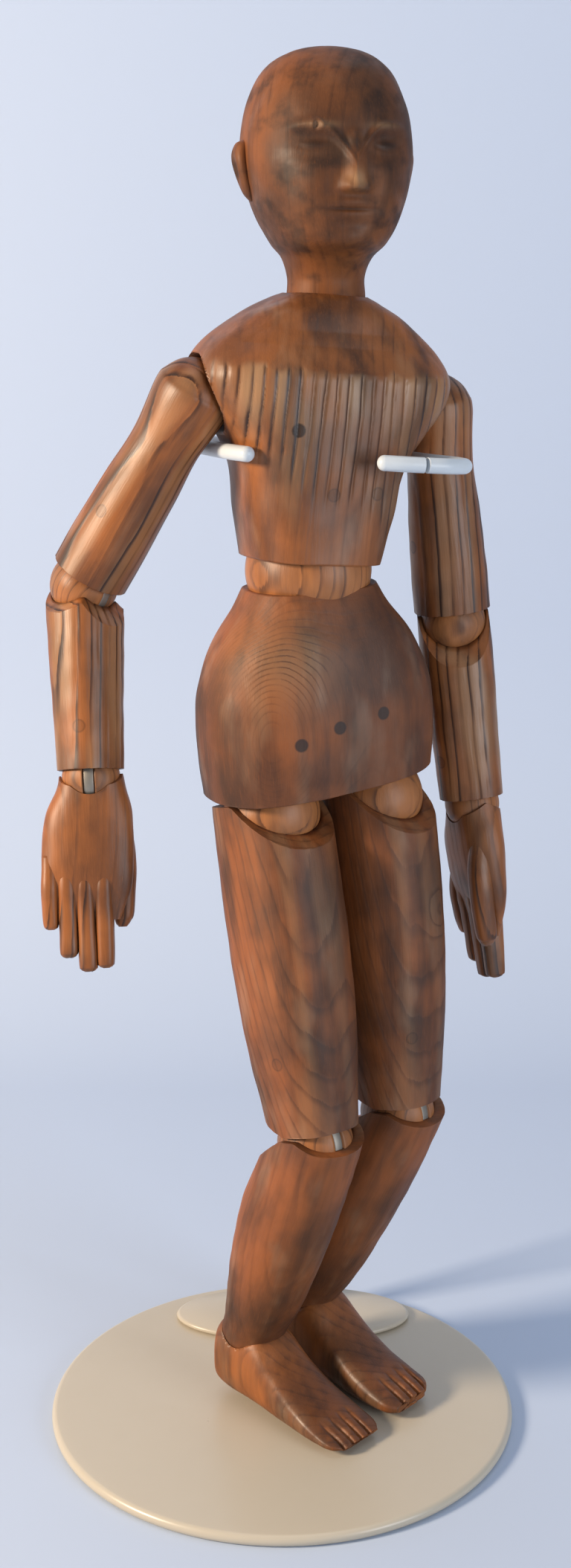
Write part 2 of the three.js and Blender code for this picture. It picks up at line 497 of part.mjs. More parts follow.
// An arm: shoulder peg, upper arm, elbow ball, forearm, wrist ball, hand
function buildArm(name) {
  const arm = ARMS[name];
  const shoulder = vec(arm.side * SHOULDER[name], SHOULDER.back, SHOULDER.up).applyMatrix4(chestFrame);
  const downUpper = downward(arm.upper);
  const downFore = downward(arm.fore);
  const elbowAxis = downFore.clone().cross(downUpper).normalize();
  const upper = frameAt(shoulder, downUpper, elbowAxis);
  const elbowTop = upper.clone().multiply(moved(0, 0, -LENGTH.upperArm));
  const fore = frameAt(originOf(elbowTop), downFore, elbowAxis);
  const wrist = originOf(fore).addScaledVector(downFore, LENGTH.forearm);
  const thumb = downward([90, arm.thumb]);
  const hand = frameAt(wrist, downFore, thumb.multiplyScalar(-arm.side));
  const bent = downUpper.angleTo(downFore) * THREE.MathUtils.RAD2DEG;

  const inward = axisOf(chestFrame, 0).multiplyScalar(-arm.side);
  const raiseAxis = inward.clone().cross(downUpper).normalize();
  const socket = frameAt(shoulder, inward, raiseAxis);
  const neckFoot = SHOULDER.scoop + 1;
  const shank = rod('z', PEG, -31, -neckFoot);
  add(`shoulder_peg_${name}`, join(tongue(neckFoot + 3, SHOULDER.head - 2.5), shank), 'greyIron', socket);

  const end = -LENGTH.upperArm + 5.5;
  const cap = SHOULDER.head;
  const upperForm = solid(carve([
    [cap - 0.1, 1.5, 1.5], [cap * 0.92, cap * 0.39, cap * 0.39], [cap * 0.7, cap * 0.71, cap * 0.71],
    [cap * 0.38, cap * 0.92, cap * 0.92], [0, cap, cap], [-20, 13.4, 13.4],
    [-40, 14.6, 14.2], [-64, 15.6, 15], [end, 15.8, 15],
  ], { steps: 11, square: 2.1 }));
  const slots = [0, 0.5, 1].map((share) => {
    const turned = new THREE.Matrix4().makeRotationX(-rad(TRAVEL.raise) * share);
    const reach = 40;
    const middle = moved(0, 0, TONGUE.eye + CLEAR - reach / 2);
    const room = block(TONGUE.thick + 2 * CLEAR, TONGUE.wide + 2.4, reach, middle);
    return room.transform(inside(upper, socket).multiply(turned).elements);
  });
  const slack = TONGUE.thick / 2 + CLEAR;
  const eyeRoom = rod('x', TONGUE.eye + CLEAR, -slack, slack, inside(upper, socket));
  const dowelAt = -LENGTH.upperArm + 34;
  const upperArm = cut(
    upperForm,
    ...slots,
    eyeRoom,
    rod('x', TONGUE.pin + CLEAR, -40, 40, inside(upper, socket)),
    hollow(BALL.elbow + CLEAR, moved(0, 0, -LENGTH.upperArm)),
    rod('z', PEG + 2 * CLEAR, -LENGTH.upperArm, -LENGTH.upperArm + 40),
    radialRod(DOWEL + CLEAR, PEG, 30, dowelAt, arm.upperDowel),
  );
  add(`upper_arm_${name}`, upperArm, 'stainedPine', upper);
  const upperDowel = radialRod(DOWEL, PEG + 3 * CLEAR, 30, dowelAt, arm.upperDowel).intersect(upperForm);
  add(`upper_arm_dowel_${name}`, upperDowel, 'dowelWood', upper);

  add(`elbow_ball_${name}`, slottedBall(BALL.elbow, 38), 'paleWood', elbowTop);
  add(`elbow_tongue_${name}`, tongue(34, BALL.elbow - 2.5), 'greyIron', fore);
  const foreEnd = -LENGTH.forearm + 3.4;
  const foreForm = solid(carve([
    [8, 14.6, 14], [-4, 15, 14.2], [-20, 15, 14], [-45, 14, 12.8], [foreEnd, 13.2, 11.8],
  ]));
  const foreDowelAt = -LENGTH.forearm + 20;
  const forearm = cut(
    foreForm,
    hollow(BALL.elbow + CLEAR),
    pocket(34),
    ...above(4, [bent, (bent + FOLD.elbow) / 2, FOLD.elbow]),
    hollow(BALL.wrist + CLEAR, moved(0, 0, -LENGTH.forearm)),
    rod('z', PEG + 2 * CLEAR, -LENGTH.forearm, -LENGTH.forearm + 32),
    radialRod(DOWEL + CLEAR, PEG, 30, foreDowelAt, arm.foreDowel),
  );
  add(`forearm_${name}`, forearm, 'stainedPine', fore);
  const foreDowel = radialRod(DOWEL, PEG + 3 * CLEAR, 30, foreDowelAt, arm.foreDowel).intersect(foreForm);
  add(`forearm_dowel_${name}`, foreDowel, 'dowelWood', fore);

  add(`wrist_ball_${name}`, slottedBall(BALL.wrist, 30), 'paleWood', hand);
  add(`wrist_tongue_${name}`, tongue(28, BALL.wrist - 2), 'greyIron', hand);
  buildHand(name, hand, -arm.side);

  const lateral = axisOf(chestFrame, 0);
  hinge(
    `shoulder_swing_${name}`, 'chest', `shoulder_peg_${name}`,
    shoulder, lateral.clone().negate(), [-30, 30],
  );
  hinge(
    `shoulder_raise_${name}`, `shoulder_peg_${name}`, `upper_arm_${name}`,
    shoulder, raiseAxis, [0, TRAVEL.raise],
  );
  hinge(
    `elbow_turn_${name}`, `upper_arm_${name}`, `elbow_ball_${name}`,
    originOf(fore), axisOf(upper, 2), [-30, 30],
  );
  hinge(
    `elbow_bend_${name}`, `elbow_ball_${name}`, `forearm_${name}`,
    originOf(fore), elbowAxis.clone().negate(), [0, Math.floor(FOLD.elbow - bent)],
  );
  hinge(`wrist_turn_${name}`, `forearm_${name}`, `wrist_ball_${name}`, wrist, axisOf(fore, 2), [-60, 60]);
  hinge(
    `wrist_bend_${name}`, `wrist_ball_${name}`, `hand_${name}`,
    wrist, axisOf(hand, 0), [-TRAVEL.wrist, TRAVEL.wrist / 2],
  );
}

// A hand: the palm, four straight fingers side by side, and the thumb against the palm
function buildHand(name, frame, thumbSide) {
  const palm = carve([
    [4, 12.2, 9.6], [-4, 13.6, 9.8], [-14, 17.2, 9.6, -1.4 * thumbSide], [-28, 18.4, 8.6, -2.2 * thumbSide],
    [-44, 18, 7, -2.6 * thumbSide, -0.6], [-47, 16.5, 5.8, -2.6 * thumbSide, -0.6],
  ]);
  const fingerSizes = [[-17.6, 59, 3.4], [-10.8, 70.5, 3.8], [-3.4, 76, 3.8], [3.6, 75, 3.6]];
  const fingers = fingerSizes.map(([x, tip, half]) => carve(
    [[-36, half, 4.6, thumbSide * (x + 0.4), -1], [-50, half, 4.8, thumbSide * x, -1],
      [-tip + 4, half - 0.4, 4.2, thumbSide * x, -1],
      [-tip, half * 0.5, 2, thumbSide * x, -1]],
    { sides: 10, steps: 5, square: 2.8 },
  ));
  const thumb = carve(
    [[-14, 4.6, 4.4, thumbSide * 9.5, 3], [-30, 4.8, 4.8, thumbSide * 11.4, 6],
      [-52, 4.2, 4.4, thumbSide * 10.8, 5.4],
      [-59, 2, 2.2, thumbSide * 10, 5]],
    { sides: 10, steps: 6, square: 2.4 },
  );
  const whole = join(solid(palm), ...fingers.map((finger) => solid(finger)), solid(thumb));
  const hand = cut(
    whole,
    hollow(BALL.wrist + CLEAR),
    pocket(28),
    ...above(1.4, [-TRAVEL.wrist, 0, TRAVEL.wrist]),
  );
  add(`hand_${name}`, hand, 'stainedPine', frame);
}

buildStand();
buildClamp();
buildHead();
buildChest();
buildPelvis();
for (const side of ['right', 'left']) {
  buildArm(side);
  buildLeg(side);
}
joints.push({
  name: 'post_height', type: 'slide', parent: 'stand', child: 'chest',
  axis: vec(0, 0, 1), range: [0, 50],
});
figure.userData.joints = joints;

export default figure;
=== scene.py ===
# %% [markdown]
# # A carved lay figure on a wire stand
# An old jointed figure of stained softwood, held under the arms by a covered wire clamp on a round
# enamelled base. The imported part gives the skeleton: where every joint lies and which way it turns.
# The pieces could be sculpted by hand. Here each one is worked out from a few sections in the frame of
# its own limb, in millimetres, because such a surface can be measured, altered and drawn again.

# %% Load the part
import json
from collections import namedtuple
from functools import partial
import bpy
import numpy as np
from mathutils import Matrix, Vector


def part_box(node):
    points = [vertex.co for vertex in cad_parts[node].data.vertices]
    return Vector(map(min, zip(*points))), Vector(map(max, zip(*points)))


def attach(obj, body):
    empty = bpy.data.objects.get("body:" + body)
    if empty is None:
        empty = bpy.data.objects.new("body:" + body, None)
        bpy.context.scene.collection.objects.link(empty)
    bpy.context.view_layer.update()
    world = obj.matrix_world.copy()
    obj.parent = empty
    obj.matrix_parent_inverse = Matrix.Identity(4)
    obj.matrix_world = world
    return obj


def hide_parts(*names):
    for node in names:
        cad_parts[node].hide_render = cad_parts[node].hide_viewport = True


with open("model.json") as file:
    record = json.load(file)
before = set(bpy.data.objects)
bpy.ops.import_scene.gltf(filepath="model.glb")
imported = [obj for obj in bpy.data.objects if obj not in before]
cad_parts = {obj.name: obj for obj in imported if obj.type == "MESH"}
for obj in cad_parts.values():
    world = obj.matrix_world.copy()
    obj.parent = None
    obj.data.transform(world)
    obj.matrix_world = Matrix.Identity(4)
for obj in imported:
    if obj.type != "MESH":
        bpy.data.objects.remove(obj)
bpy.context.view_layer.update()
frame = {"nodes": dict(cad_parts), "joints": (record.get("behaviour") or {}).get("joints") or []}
joints = {joint["name"]: joint for joint in frame["joints"]}
SIDES = ("right", "left")
MM = 1000  # millimetres in a metre

# %% [markdown]
# ## Frames
# A carver measures a limb from its joint. So each limb has a frame of its own, with its origin at the
# upper joint, Z up the limb, X along the bending axis to the figure's left, and -Y at its front. They
# could be typed in as angles, but taken from the joints they follow the part when it changes.

# %% Axes of a frame
UP = np.array([0.0, 0.0, 1.0])
FRONT = np.array([0.0, -1.0, 0.0])


def unit(vector):
    """A vector divided by its length."""
    return np.asarray(vector, float) / np.linalg.norm(vector)


def place(joint):
    """Where a joint lies, in millimetres."""
    return np.array(joints[joint]["pos_m"]) * MM


def axis(joint):
    """The direction a joint turns about."""
    return unit(joints[joint]["axis"])


def limb_frame(origin, down, across):
    """Origin and the three axes as columns: Z against down, X as near to across as it can be."""
    z = -unit(down)
    y = unit(np.cross(z, across))
    return np.asarray(origin, float), np.column_stack([np.cross(y, z), y, z])


def level_frame(origin, across):
    """A trunk frame: X along across, Y level towards the back, Z square to both."""
    x = unit(across)
    y = unit(np.cross(UP, x))
    return np.asarray(origin, float), np.column_stack([x, y, np.cross(x, y)])


print("the neck nods at", place("head_nod").round(1), "mm")

# %% Frames of the trunk and limbs
ARM_JOINTS = ("shoulder_raise", "elbow_bend", "wrist_bend")
LEG_JOINTS = ("hip_swing", "knee_bend", "ankle_bend")
waist = place("waist_bend")
FRAMES = {
    "chest": level_frame(waist, -axis("shoulder_swing_right")),
    "pelvis": level_frame(waist, place("hip_swing_left") - place("hip_swing_right")),
    "waist": level_frame(waist, -axis("waist_bend")),
    "head": level_frame(place("head_nod"), axis("head_nod")),
    "room": (np.zeros(3), np.eye(3)),
}
LENGTHS = {}
for side in SIDES:
    shoulder, elbow, wrist = (place(f"{joint}_{side}") for joint in ARM_JOINTS)
    hip, knee, ankle = (place(f"{joint}_{side}") for joint in LEG_JOINTS)
    FRAMES["upper_arm_" + side] = limb_frame(shoulder, elbow - shoulder, -axis("elbow_bend_" + side))
    FRAMES["forearm_" + side] = limb_frame(elbow, wrist - elbow, -axis("elbow_bend_" + side))
    FRAMES["hand_" + side] = limb_frame(wrist, wrist - elbow, axis("wrist_bend_" + side))
    FRAMES["thigh_" + side] = limb_frame(hip, knee - hip, -axis("hip_swing_" + side))
    FRAMES["shin_" + side] = limb_frame(knee, ankle - knee, axis("knee_bend_" + side))
    FRAMES["foot_" + side] = level_frame(ankle, -axis("ankle_bend_" + side))
    LENGTHS["upper_arm"] = np.linalg.norm(elbow - shoulder)
    LENGTHS["forearm"] = np.linalg.norm(wrist - elbow)
    LENGTHS["thigh"] = np.linalg.norm(knee - hip)
    LENGTHS["shin"] = np.linalg.norm(ankle - knee)
print({name: round(float(length), 1) for name, length in LENGTHS.items()})

# %% [markdown]
# ## Growth rings
# On old softwood the soft early wood has shrunk back and the hard late wood stands proud. Rings could
# be left to a texture, but then light would not catch on them. They are cylinders round a pith line that
# lies somewhere beside the piece. The distance from that line, bent a little by a slow random drift, is
# kept on every vertex, so that the ridges in the surface and the bands in the material agree.

# %% Random drift and growth rings
Timber = namedtuple("Timber", "pith lean pitch seed knots", defaults=[()])
RING_LEAD = 0.04  # part of a ring by which the first ridge starts early


def drift(points, scale, seed):
    """A smooth random field: the mean of eight sine waves in random directions, wavelengths near scale."""
    rng = np.random.default_rng(seed)
    waves = rng.normal(size=(8, 3))
    lengths = np.linalg.norm(waves, axis=1, keepdims=True)
    waves *= (2 * np.pi / scale) * rng.uniform(0.6, 1.5, (8, 1)) / lengths
    return 1.6 * np.sin(points @ waves.T + rng.uniform(0, 2 * np.pi, 8)).mean(-1)


def step(value, low, high):
    """A smooth step from 0 at low to 1 at high: three times the square less twice the cube."""
    t = np.clip((value - low) / (high - low), 0, 1)
    return t * t * (3 - 2 * t)


def bump(x, z, at, size, height):
    """A soft bell of that height round a point: e to the minus squared distance, counted in sizes."""
    return height * np.exp(-(((x - at[0]) / size[0]) ** 2) - ((z - at[1]) / size[1]) ** 2)


def knot(points, at, wide, tall, strength):
    """Rings swollen round a knot: strength millimetres at its heart, a bell over wide and tall."""
    gap = (points - at) / [wide, wide, tall]
    return strength * np.exp(-np.sum(gap**2, -1))


def growth_rings(points, timber):
    """Distance from a pith line that leans by (dx, dy) per unit of height, bent by two drifts and knots."""
    along = points[..., 2]
    x = points[..., 0] - timber.pith[0] - timber.lean[0] * along
    y = points[..., 1] - timber.pith[1] - timber.lean[1] * along
    stretched = points * [1, 1, 0.25]
    slow = 0.9 * drift(stretched, 28, timber.seed)
    quick = 0.35 * drift(stretched, 9, timber.seed + 1)
    return np.hypot(x, y) + slow + quick + sum(knot(points, *each) for each in timber.knots)


def ridge(ring, pitch):
    """One rounded band for every pitch of ring distance, with a narrow groove at its end: from 0 to 1."""
    phase = (ring / pitch + RING_LEAD) % 1.0
    return (1 - np.abs(2 * phase - 1) ** 5) * (0.72 + 0.28 * phase)


print("one ridge across its ring", ridge(np.linspace(0, 3.5, 8), 4.0).round(2))

# %% [markdown]
# ## Surfaces
# A carver thinks in sections: so wide and so deep at this height. Subdivided boxes would need their
# corners pushed about by eye, so every piece is a grid instead. Rows run from one end to the other,
# columns run round it. Smooth stations (z, half width, half depth, x, y) give the rows, and a
# superellipse, between an ellipse and a rectangle, gives the columns.

# %% Curves and sections
def spline(table, t):
    """Catmull-Rom curve through the rows of table for t from 0 to 1."""
    table = np.asarray(table, float)
    last = len(table) - 1
    u = np.clip(t, 0, 1) * last
    i = np.minimum(u.astype(int), last - 1)
    f = (u - i)[..., None]
    padded = np.vstack([2 * table[0] - table[1], table, 2 * table[-1] - table[-2]])
    a, b, c, d = padded[i], padded[i + 1], padded[i + 2], padded[i + 3]
    return b + 0.5 * f * (c - a + f * (2 * a - 5 * b + 4 * c - d + f * (3 * (b - c) + d - a)))


def bulge(value, square):
    """A sine or cosine squared off: its power 2 / square, with its sign kept."""
    return np.sign(value) * np.abs(value) ** (2 / square)


def stations(rows):
    """Stations as an array, with 0 for an x or y that is left out."""
    return np.array([list(row) + [0.0] * (5 - len(row)) for row in rows])


def around(columns, square=2.0, slim=1.0):
    """Angles round a section, spaced evenly along its outline: slim is its depth over its width."""
    fine = np.linspace(0, 2 * np.pi, 4001)
    x = bulge(np.sin(fine), square)
    y = slim * bulge(np.cos(fine), square)
    length = np.concatenate([[0], np.cumsum(np.hypot(np.diff(x), np.diff(y)))])
    return np.interp(np.arange(columns) / columns * length[-1], length, fine)


def section(table, t, theta, square):
    """Points of the carved form: theta 0 is the front (-Y) and a quarter turn on is the left (+X)."""
    z, wide, deep, x, y = np.moveaxis(spline(table, t), -1, 0)
    across = x + wide * bulge(np.sin(theta), square)
    return np.stack([across, y - deep * bulge(np.cos(theta), square), z + 0 * theta], -1)


def lengthwise(rows, square, columns, steps):
    """A carved form with flat closed ends: each end ring is drawn in to its middle in four steps."""
    table = stations(rows)
    middle = table[len(table) // 2]
    theta = around(columns, square, middle[2] / middle[1])
    side = section(table, np.linspace(0, 1, steps)[:, None], theta[None, :], square)
    shrink = np.array([0.96, 0.75, 0.4, 0.05])[:, None, None]
    first = side[0].mean(0) + (side[0] - side[0].mean(0)) * shrink[::-1]
    last = side[-1].mean(0) + (side[-1] - side[-1].mean(0)) * shrink
    return np.concatenate([first, side, last])


def turned(profile, columns):
    """A surface of revolution about Z from (radius, height) points."""
    profile = np.asarray(profile, float)
    theta = around(columns)
    z = np.repeat(profile[:, 1:], columns, 1)
    return np.stack([profile[:, :1] * np.cos(theta), profile[:, :1] * np.sin(theta), z], -1)


def normals(grid):
    """Unit normals of a grid whose columns close round: the cross product of its two directions."""
    down = np.gradient(grid, axis=0)
    round_ = np.roll(grid, -1, 1) - np.roll(grid, 1, 1)
    out = np.cross(down, round_)
    return out / np.maximum(np.linalg.norm(out, axis=-1, keepdims=True), 1e-9)


print("a squared-off quarter turn", bulge(np.sin(np.linspace(0, np.pi / 2, 5)), 2.4).round(2))

# %% [markdown]
# ## Limb ends
# Each limb ends in a hollow that sits on a ball, with a flat or bevelled rim where the next limb needs
# room to fold. Booleans would cut these but break the even grid that the ridges need. So each column of
# the limb's side is followed outwards until it meets a cutting plane or the ball. There the end face
# turns inwards on that plane to the hollow, and the hollow closes at its pole.

# %% Hollow ends
End = namedtuple("End", "height ball planes way")
CLEAR = 0.3  # gap between a ball and its hollow
FACE_STEPS = np.array([0.04, 0.3, 0.7, 1.0])[:, None, None]
HOLLOW_STEPS = np.array([0.15, 0.35, 0.6, 0.85, 0.985])[:, None, None]
CLOSED_STEPS = np.array([0.97, 0.8, 0.5, 0.3, 0.1])[:, None, None]


def tilted(angle, height):
    """A cutting plane at that height over a joint, tilted about X: (normal, distance)."""
    a = np.radians(angle)
    return np.array([0, -np.sin(a), np.cos(a)]), height


def length_of(points):
    """The distance of points from the origin, with the last axis kept."""
    return np.linalg.norm(points, axis=-1, keepdims=True)


def trimmed(side, end):
    """Follows the columns of side towards an end. Returns the last row that is clear of the planes and the
    ball in each column, and the rings that close the end: over the face, then over the hollow."""
    local = side - [0, 0, end.height]
    ball = end.ball - length_of(local)[..., 0] if end.ball else np.full(local.shape[:2], -1.0)
    excess = np.array([ball] + [local @ normal - distance for normal, distance in end.planes])
    worst = excess.max(0)
    index = np.cumprod(worst <= 0, axis=0).sum(0) - 1
    column = np.arange(side.shape[1])
    rim = local[index, column]
    if not end.ball:
        middle = rim.mean(0)
        return index, middle + (rim - middle) * CLOSED_STEPS + [0, 0, end.height]
    beyond = np.minimum(index + 1, len(local) - 1)
    cause = np.argmax(excess[:, beyond, column], axis=0)
    cause = np.where(worst[beyond, column] > 0, cause, min(len(end.planes), 1))
    lip = rim.copy()
    for number, (normal, distance) in enumerate(end.planes, 1):
        flat = rim - distance * normal
        circle = np.sqrt(max(end.ball**2 - distance**2, 0.01))
        inward = distance * normal + flat * np.minimum(1, circle / length_of(flat))
        lip = np.where((cause == number)[:, None], inward, lip)
    pole = np.array([0, 0, -end.way * end.ball])
    hollow = lip * (1 - HOLLOW_STEPS) + pole * HOLLOW_STEPS
    hollow = hollow / length_of(hollow) * length_of(lip)
    rings = np.concatenate([rim + (lip - rim) * FACE_STEPS, hollow])
    return index, rings + [0, 0, end.height]


def limb(rows, square, top, foot, columns=112, steps=120):
    """A limb between two ends: its side runs from stop to stop, with a close row beside either rim.
    Returns the grid and a mask that is 1 in the hollows, where shade is painted."""
    table = stations(rows)
    theta = around(columns, square, table[2, 2] / table[2, 1])
    fine = np.linspace(0, 1, 700)
    probe = section(table, fine[:, None], theta[None, :], square)
    middle = len(fine) // 2
    upwards, downwards = slice(middle, None, -1), slice(middle, None, 1)
    first, top_rings = trimmed(probe[upwards], top)
    last, foot_rings = trimmed(probe[downwards], foot)
    start, stop = fine[upwards][first], fine[downwards][last]
    ramp = np.concatenate([[0, 0.0015], np.linspace(0, 1, steps)[1:-1], [0.9985, 1]])[:, None]
    side = section(table, start + (stop - start) * ramp, theta[None, :], square)
    grid = np.concatenate([top_rings[::-1], side, foot_rings])
    # painted shade: the hollows are darkened in colour
    inner = np.zeros(grid.shape[:2])
    inner[: len(top_rings) - len(FACE_STEPS)] = top.ball > 0
    inner[len(FACE_STEPS) - len(foot_rings) :] = foot.ball > 0
    return grid, inner


def bend_between(upper, lower):
    """Degrees by which one limb's frame is folded against the next."""
    return np.degrees(np.arccos(np.clip(upper[1][:, 2] @ lower[1][:, 2], -1, 1)))


for side in SIDES:
    print(side, "elbow bent", bend_between(FRAMES["upper_arm_" + side], FRAMES["forearm_" + side]).round(1))

# %% [markdown]
# ## From grid to mesh
# Every grid becomes one object at the origin, with its place in its mesh, so that patterns on its own
# coordinates stay put. Masks for the material could be painted by hand. Here they are worked out with
# the shape and kept as attributes: ring distance, painted shade in hollows and on shaded sides, dowel
# ends, wear with some painted highlights, and how plain the ring lines are.

# %% Meshes and pieces
Plug = namedtuple("Plug", "point along darkness")
NO_PLUG = 20.0  # a distance from any dowel that is far enough to show nothing


def mesh_object(name, points, faces, material):
    """One smooth mesh from points in metres and faces of point numbers."""
    mesh = bpy.data.meshes.new(name)
    mesh.from_pydata(points.tolist(), [], faces)
    mesh.polygons.foreach_set("use_smooth", np.ones(len(faces), bool))
    mesh.materials.append(material)
    mesh.update()
    obj = bpy.data.objects.new(name, mesh)
    bpy.context.scene.collection.objects.link(obj)
    return obj


def carve(grid, out, masks, timber):
    """Ring distance of each point, and the grid lifted along its normals by the ridges and a soft wave."""
    ring = growth_rings(grid, timber)
    patchy = np.clip(0.75 + 0.5 * drift(grid, 45, timber.seed + 5), 0.25, 1.2)
    ridges = masks["relief"] * patchy * (ridge(ring, timber.pitch) - 0.7)
    lift = ridges + 0.18 * drift(grid, 16, timber.seed + 9)
    return ring / timber.pitch, grid + out * (lift * (1 - masks["inner"]))[..., None]


def dowel_marks(grid, out, plugs):
    """Distance of each point from the nearest dowel's axis, on the side it shows, and how dark it is."""
    plug = np.full(grid.shape[:2], NO_PLUG)
    dowel = np.zeros(grid.shape[:2])
    for point, along, darkness in plugs:
        gap = grid - point
        away = np.linalg.norm(gap - (gap @ along)[..., None] * along, axis=-1)
        away = np.where(out @ along > 0.2, away, NO_PLUG)
        dowel = np.where(away < 6, darkness, dowel)
        plug = np.minimum(plug, away)
    return plug, dowel


def piece(name, grid, where, body, nodes, material, slot="stained_pine", timber=None, plugs=(), **shown):
    """Turns a grid in a limb's frame into an object that rides on its body and stands for CAD nodes. shown
    holds numbers or one value per point: relief, the height of the ridges; the shade mask, how much painted
    shade darkens hollows and shaded sides; the wear mask, how far the stain has gone, with painted
    highlights on some ridges and edges; lined, how plain the ring lines are."""
    masks = {"relief": 0.0, "inner": 0.0, "wear": 0.0, "lined": 1.0, **shown}
    masks = {label: np.broadcast_to(value, grid.shape[:2]) for label, value in masks.items()}
    out = normals(grid)
    if np.sum(out * (grid - grid.reshape(-1, 3).mean(0))) < 0:
        grid, out = grid[:, ::-1], -out[:, ::-1]
        masks = {label: value[:, ::-1] for label, value in masks.items()}
    ring, grid = carve(grid, out, masks, timber) if timber else (np.zeros(grid.shape[:2]), grid)
    plug, dowel = dowel_marks(grid, out, plugs)
    corner = np.arange(ring.size).reshape(ring.shape)
    following = np.roll(corner, -1, 1)
    quads = np.stack([corner[:-1], corner[1:], following[1:], following[:-1]], -1).reshape(-1, 4)
    faces = quads.tolist() + [corner[0].tolist(), corner[-1][::-1].tolist()]
    origin, turn = where
    obj = mesh_object(name, (origin + grid.reshape(-1, 3) @ turn.T) / MM, faces, material)
    values = {"ring": ring, "plug": plug, "dowel": dowel}
    values.update({label: masks[label] for label in ("inner", "wear", "lined")})
    for label, value in values.items():
        layer = obj.data.attributes.new(label, "FLOAT", "POINT")
        layer.data.foreach_set("value", value.astype(np.float32).ravel())
    layer = obj.data.attributes.new("grain", "FLOAT_VECTOR", "POINT")
    layer.data.foreach_set("vector", grid.astype(np.float32).ravel())
    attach(obj, body)
    if nodes:
        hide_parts(*nodes)
    print(f"{name}: {len(faces)} faces, {np.ptp(grid.reshape(-1, 3), axis=0).round(1)} mm")
    return obj


def side_plug(degrees, height, darkness):
    """A dowel that enters a limb square to it at that height, so many degrees round from the front."""
    turn = np.radians(degrees)
    return Plug(np.array([0, 0, height]), np.array([np.sin(turn), -np.cos(turn), 0]), darkness)


print("a dowel on the right enters along", side_plug(-90, 0, 0.3).along.round(2))

# %% [markdown]
# ## Finishes
# A material could be one flat colour, but old stained wood never is. Each finish is a tree of shader
# nodes. Only one function adds nodes: it names the kind, fills the sockets and hands back an output.

# %% Node helpers
def linear(code):
    """sRGB hex to linear RGBA: the low part divided by 12.92, the rest by the 2.4 power law."""
    c = np.array([int(code[i : i + 2], 16) / 255 for i in (0, 2, 4)])
    return (*np.where(c <= 0.04045, c / 12.92, ((c + 0.055) / 1.055) ** 2.4), 1.0)


def fill(node, inputs):
    """Puts a link or a constant into sockets of a node, in order or by name or number."""
    for socket, value in inputs.items() if isinstance(inputs, dict) else enumerate(inputs):
        if isinstance(value, bpy.types.NodeSocket):
            node.id_data.links.new(value, node.inputs[socket])
        else:
            node.inputs[socket].default_value = value


def add_node(tree, kind, inputs=(), output=0, **settings):
    """Adds one shader node with its settings and inputs, and returns one of its outputs."""
    node = tree.nodes.new("ShaderNode" + kind)
    for key, value in settings.items():
        setattr(node, key, value)
    fill(node, inputs)
    return node.outputs[output]


def new_material(name):
    """A material, its shader, and the function that adds nodes to its tree."""
    material = bpy.data.materials.new(name)
    material.use_nodes = True
    tree = material.node_tree
    return material, tree.nodes["Principled BSDF"], partial(add_node, tree)


print("stain brown in linear light", np.round(linear("5a3217"), 3))

# %% [markdown]
# ## Stained softwood
# Pine takes stain unevenly: it blots, its late wood stays as thin dark lines, and hands rub it pale
# again along the grain. An image of wood would repeat and run the wrong way on a round limb. So the
# lines follow the ring distance of each point, and the blots and fibres follow the piece's own
# millimetres, stretched along the grain. Shade is painted into the hollows and onto some shaded sides,
# some pale ridges and edges are painted highlights, and dowel ends show as dark discs.

# %% Wood
FIBRE, STREAK, BLOTCH, STAIN, HAND_RUB = 0.625, 6.25, 38.46, 18.18, 14.29  # pattern sizes in mm
# the second colour is pale worn wood that also serves as a painted highlight, the third the dark brown of
# painted shade
RUBBED_WOOD, BARE_WOOD_AND_HIGHLIGHT, PAINTED_SHADE_BROWN = "a08062", "b08a64", "1c110a"
DOWEL_DARK, DOWEL_EDGE = "20150e", "1a0f09"
POINT_VALUES = ("ring", "inner", "plug", "dowel", "wear", "lined")


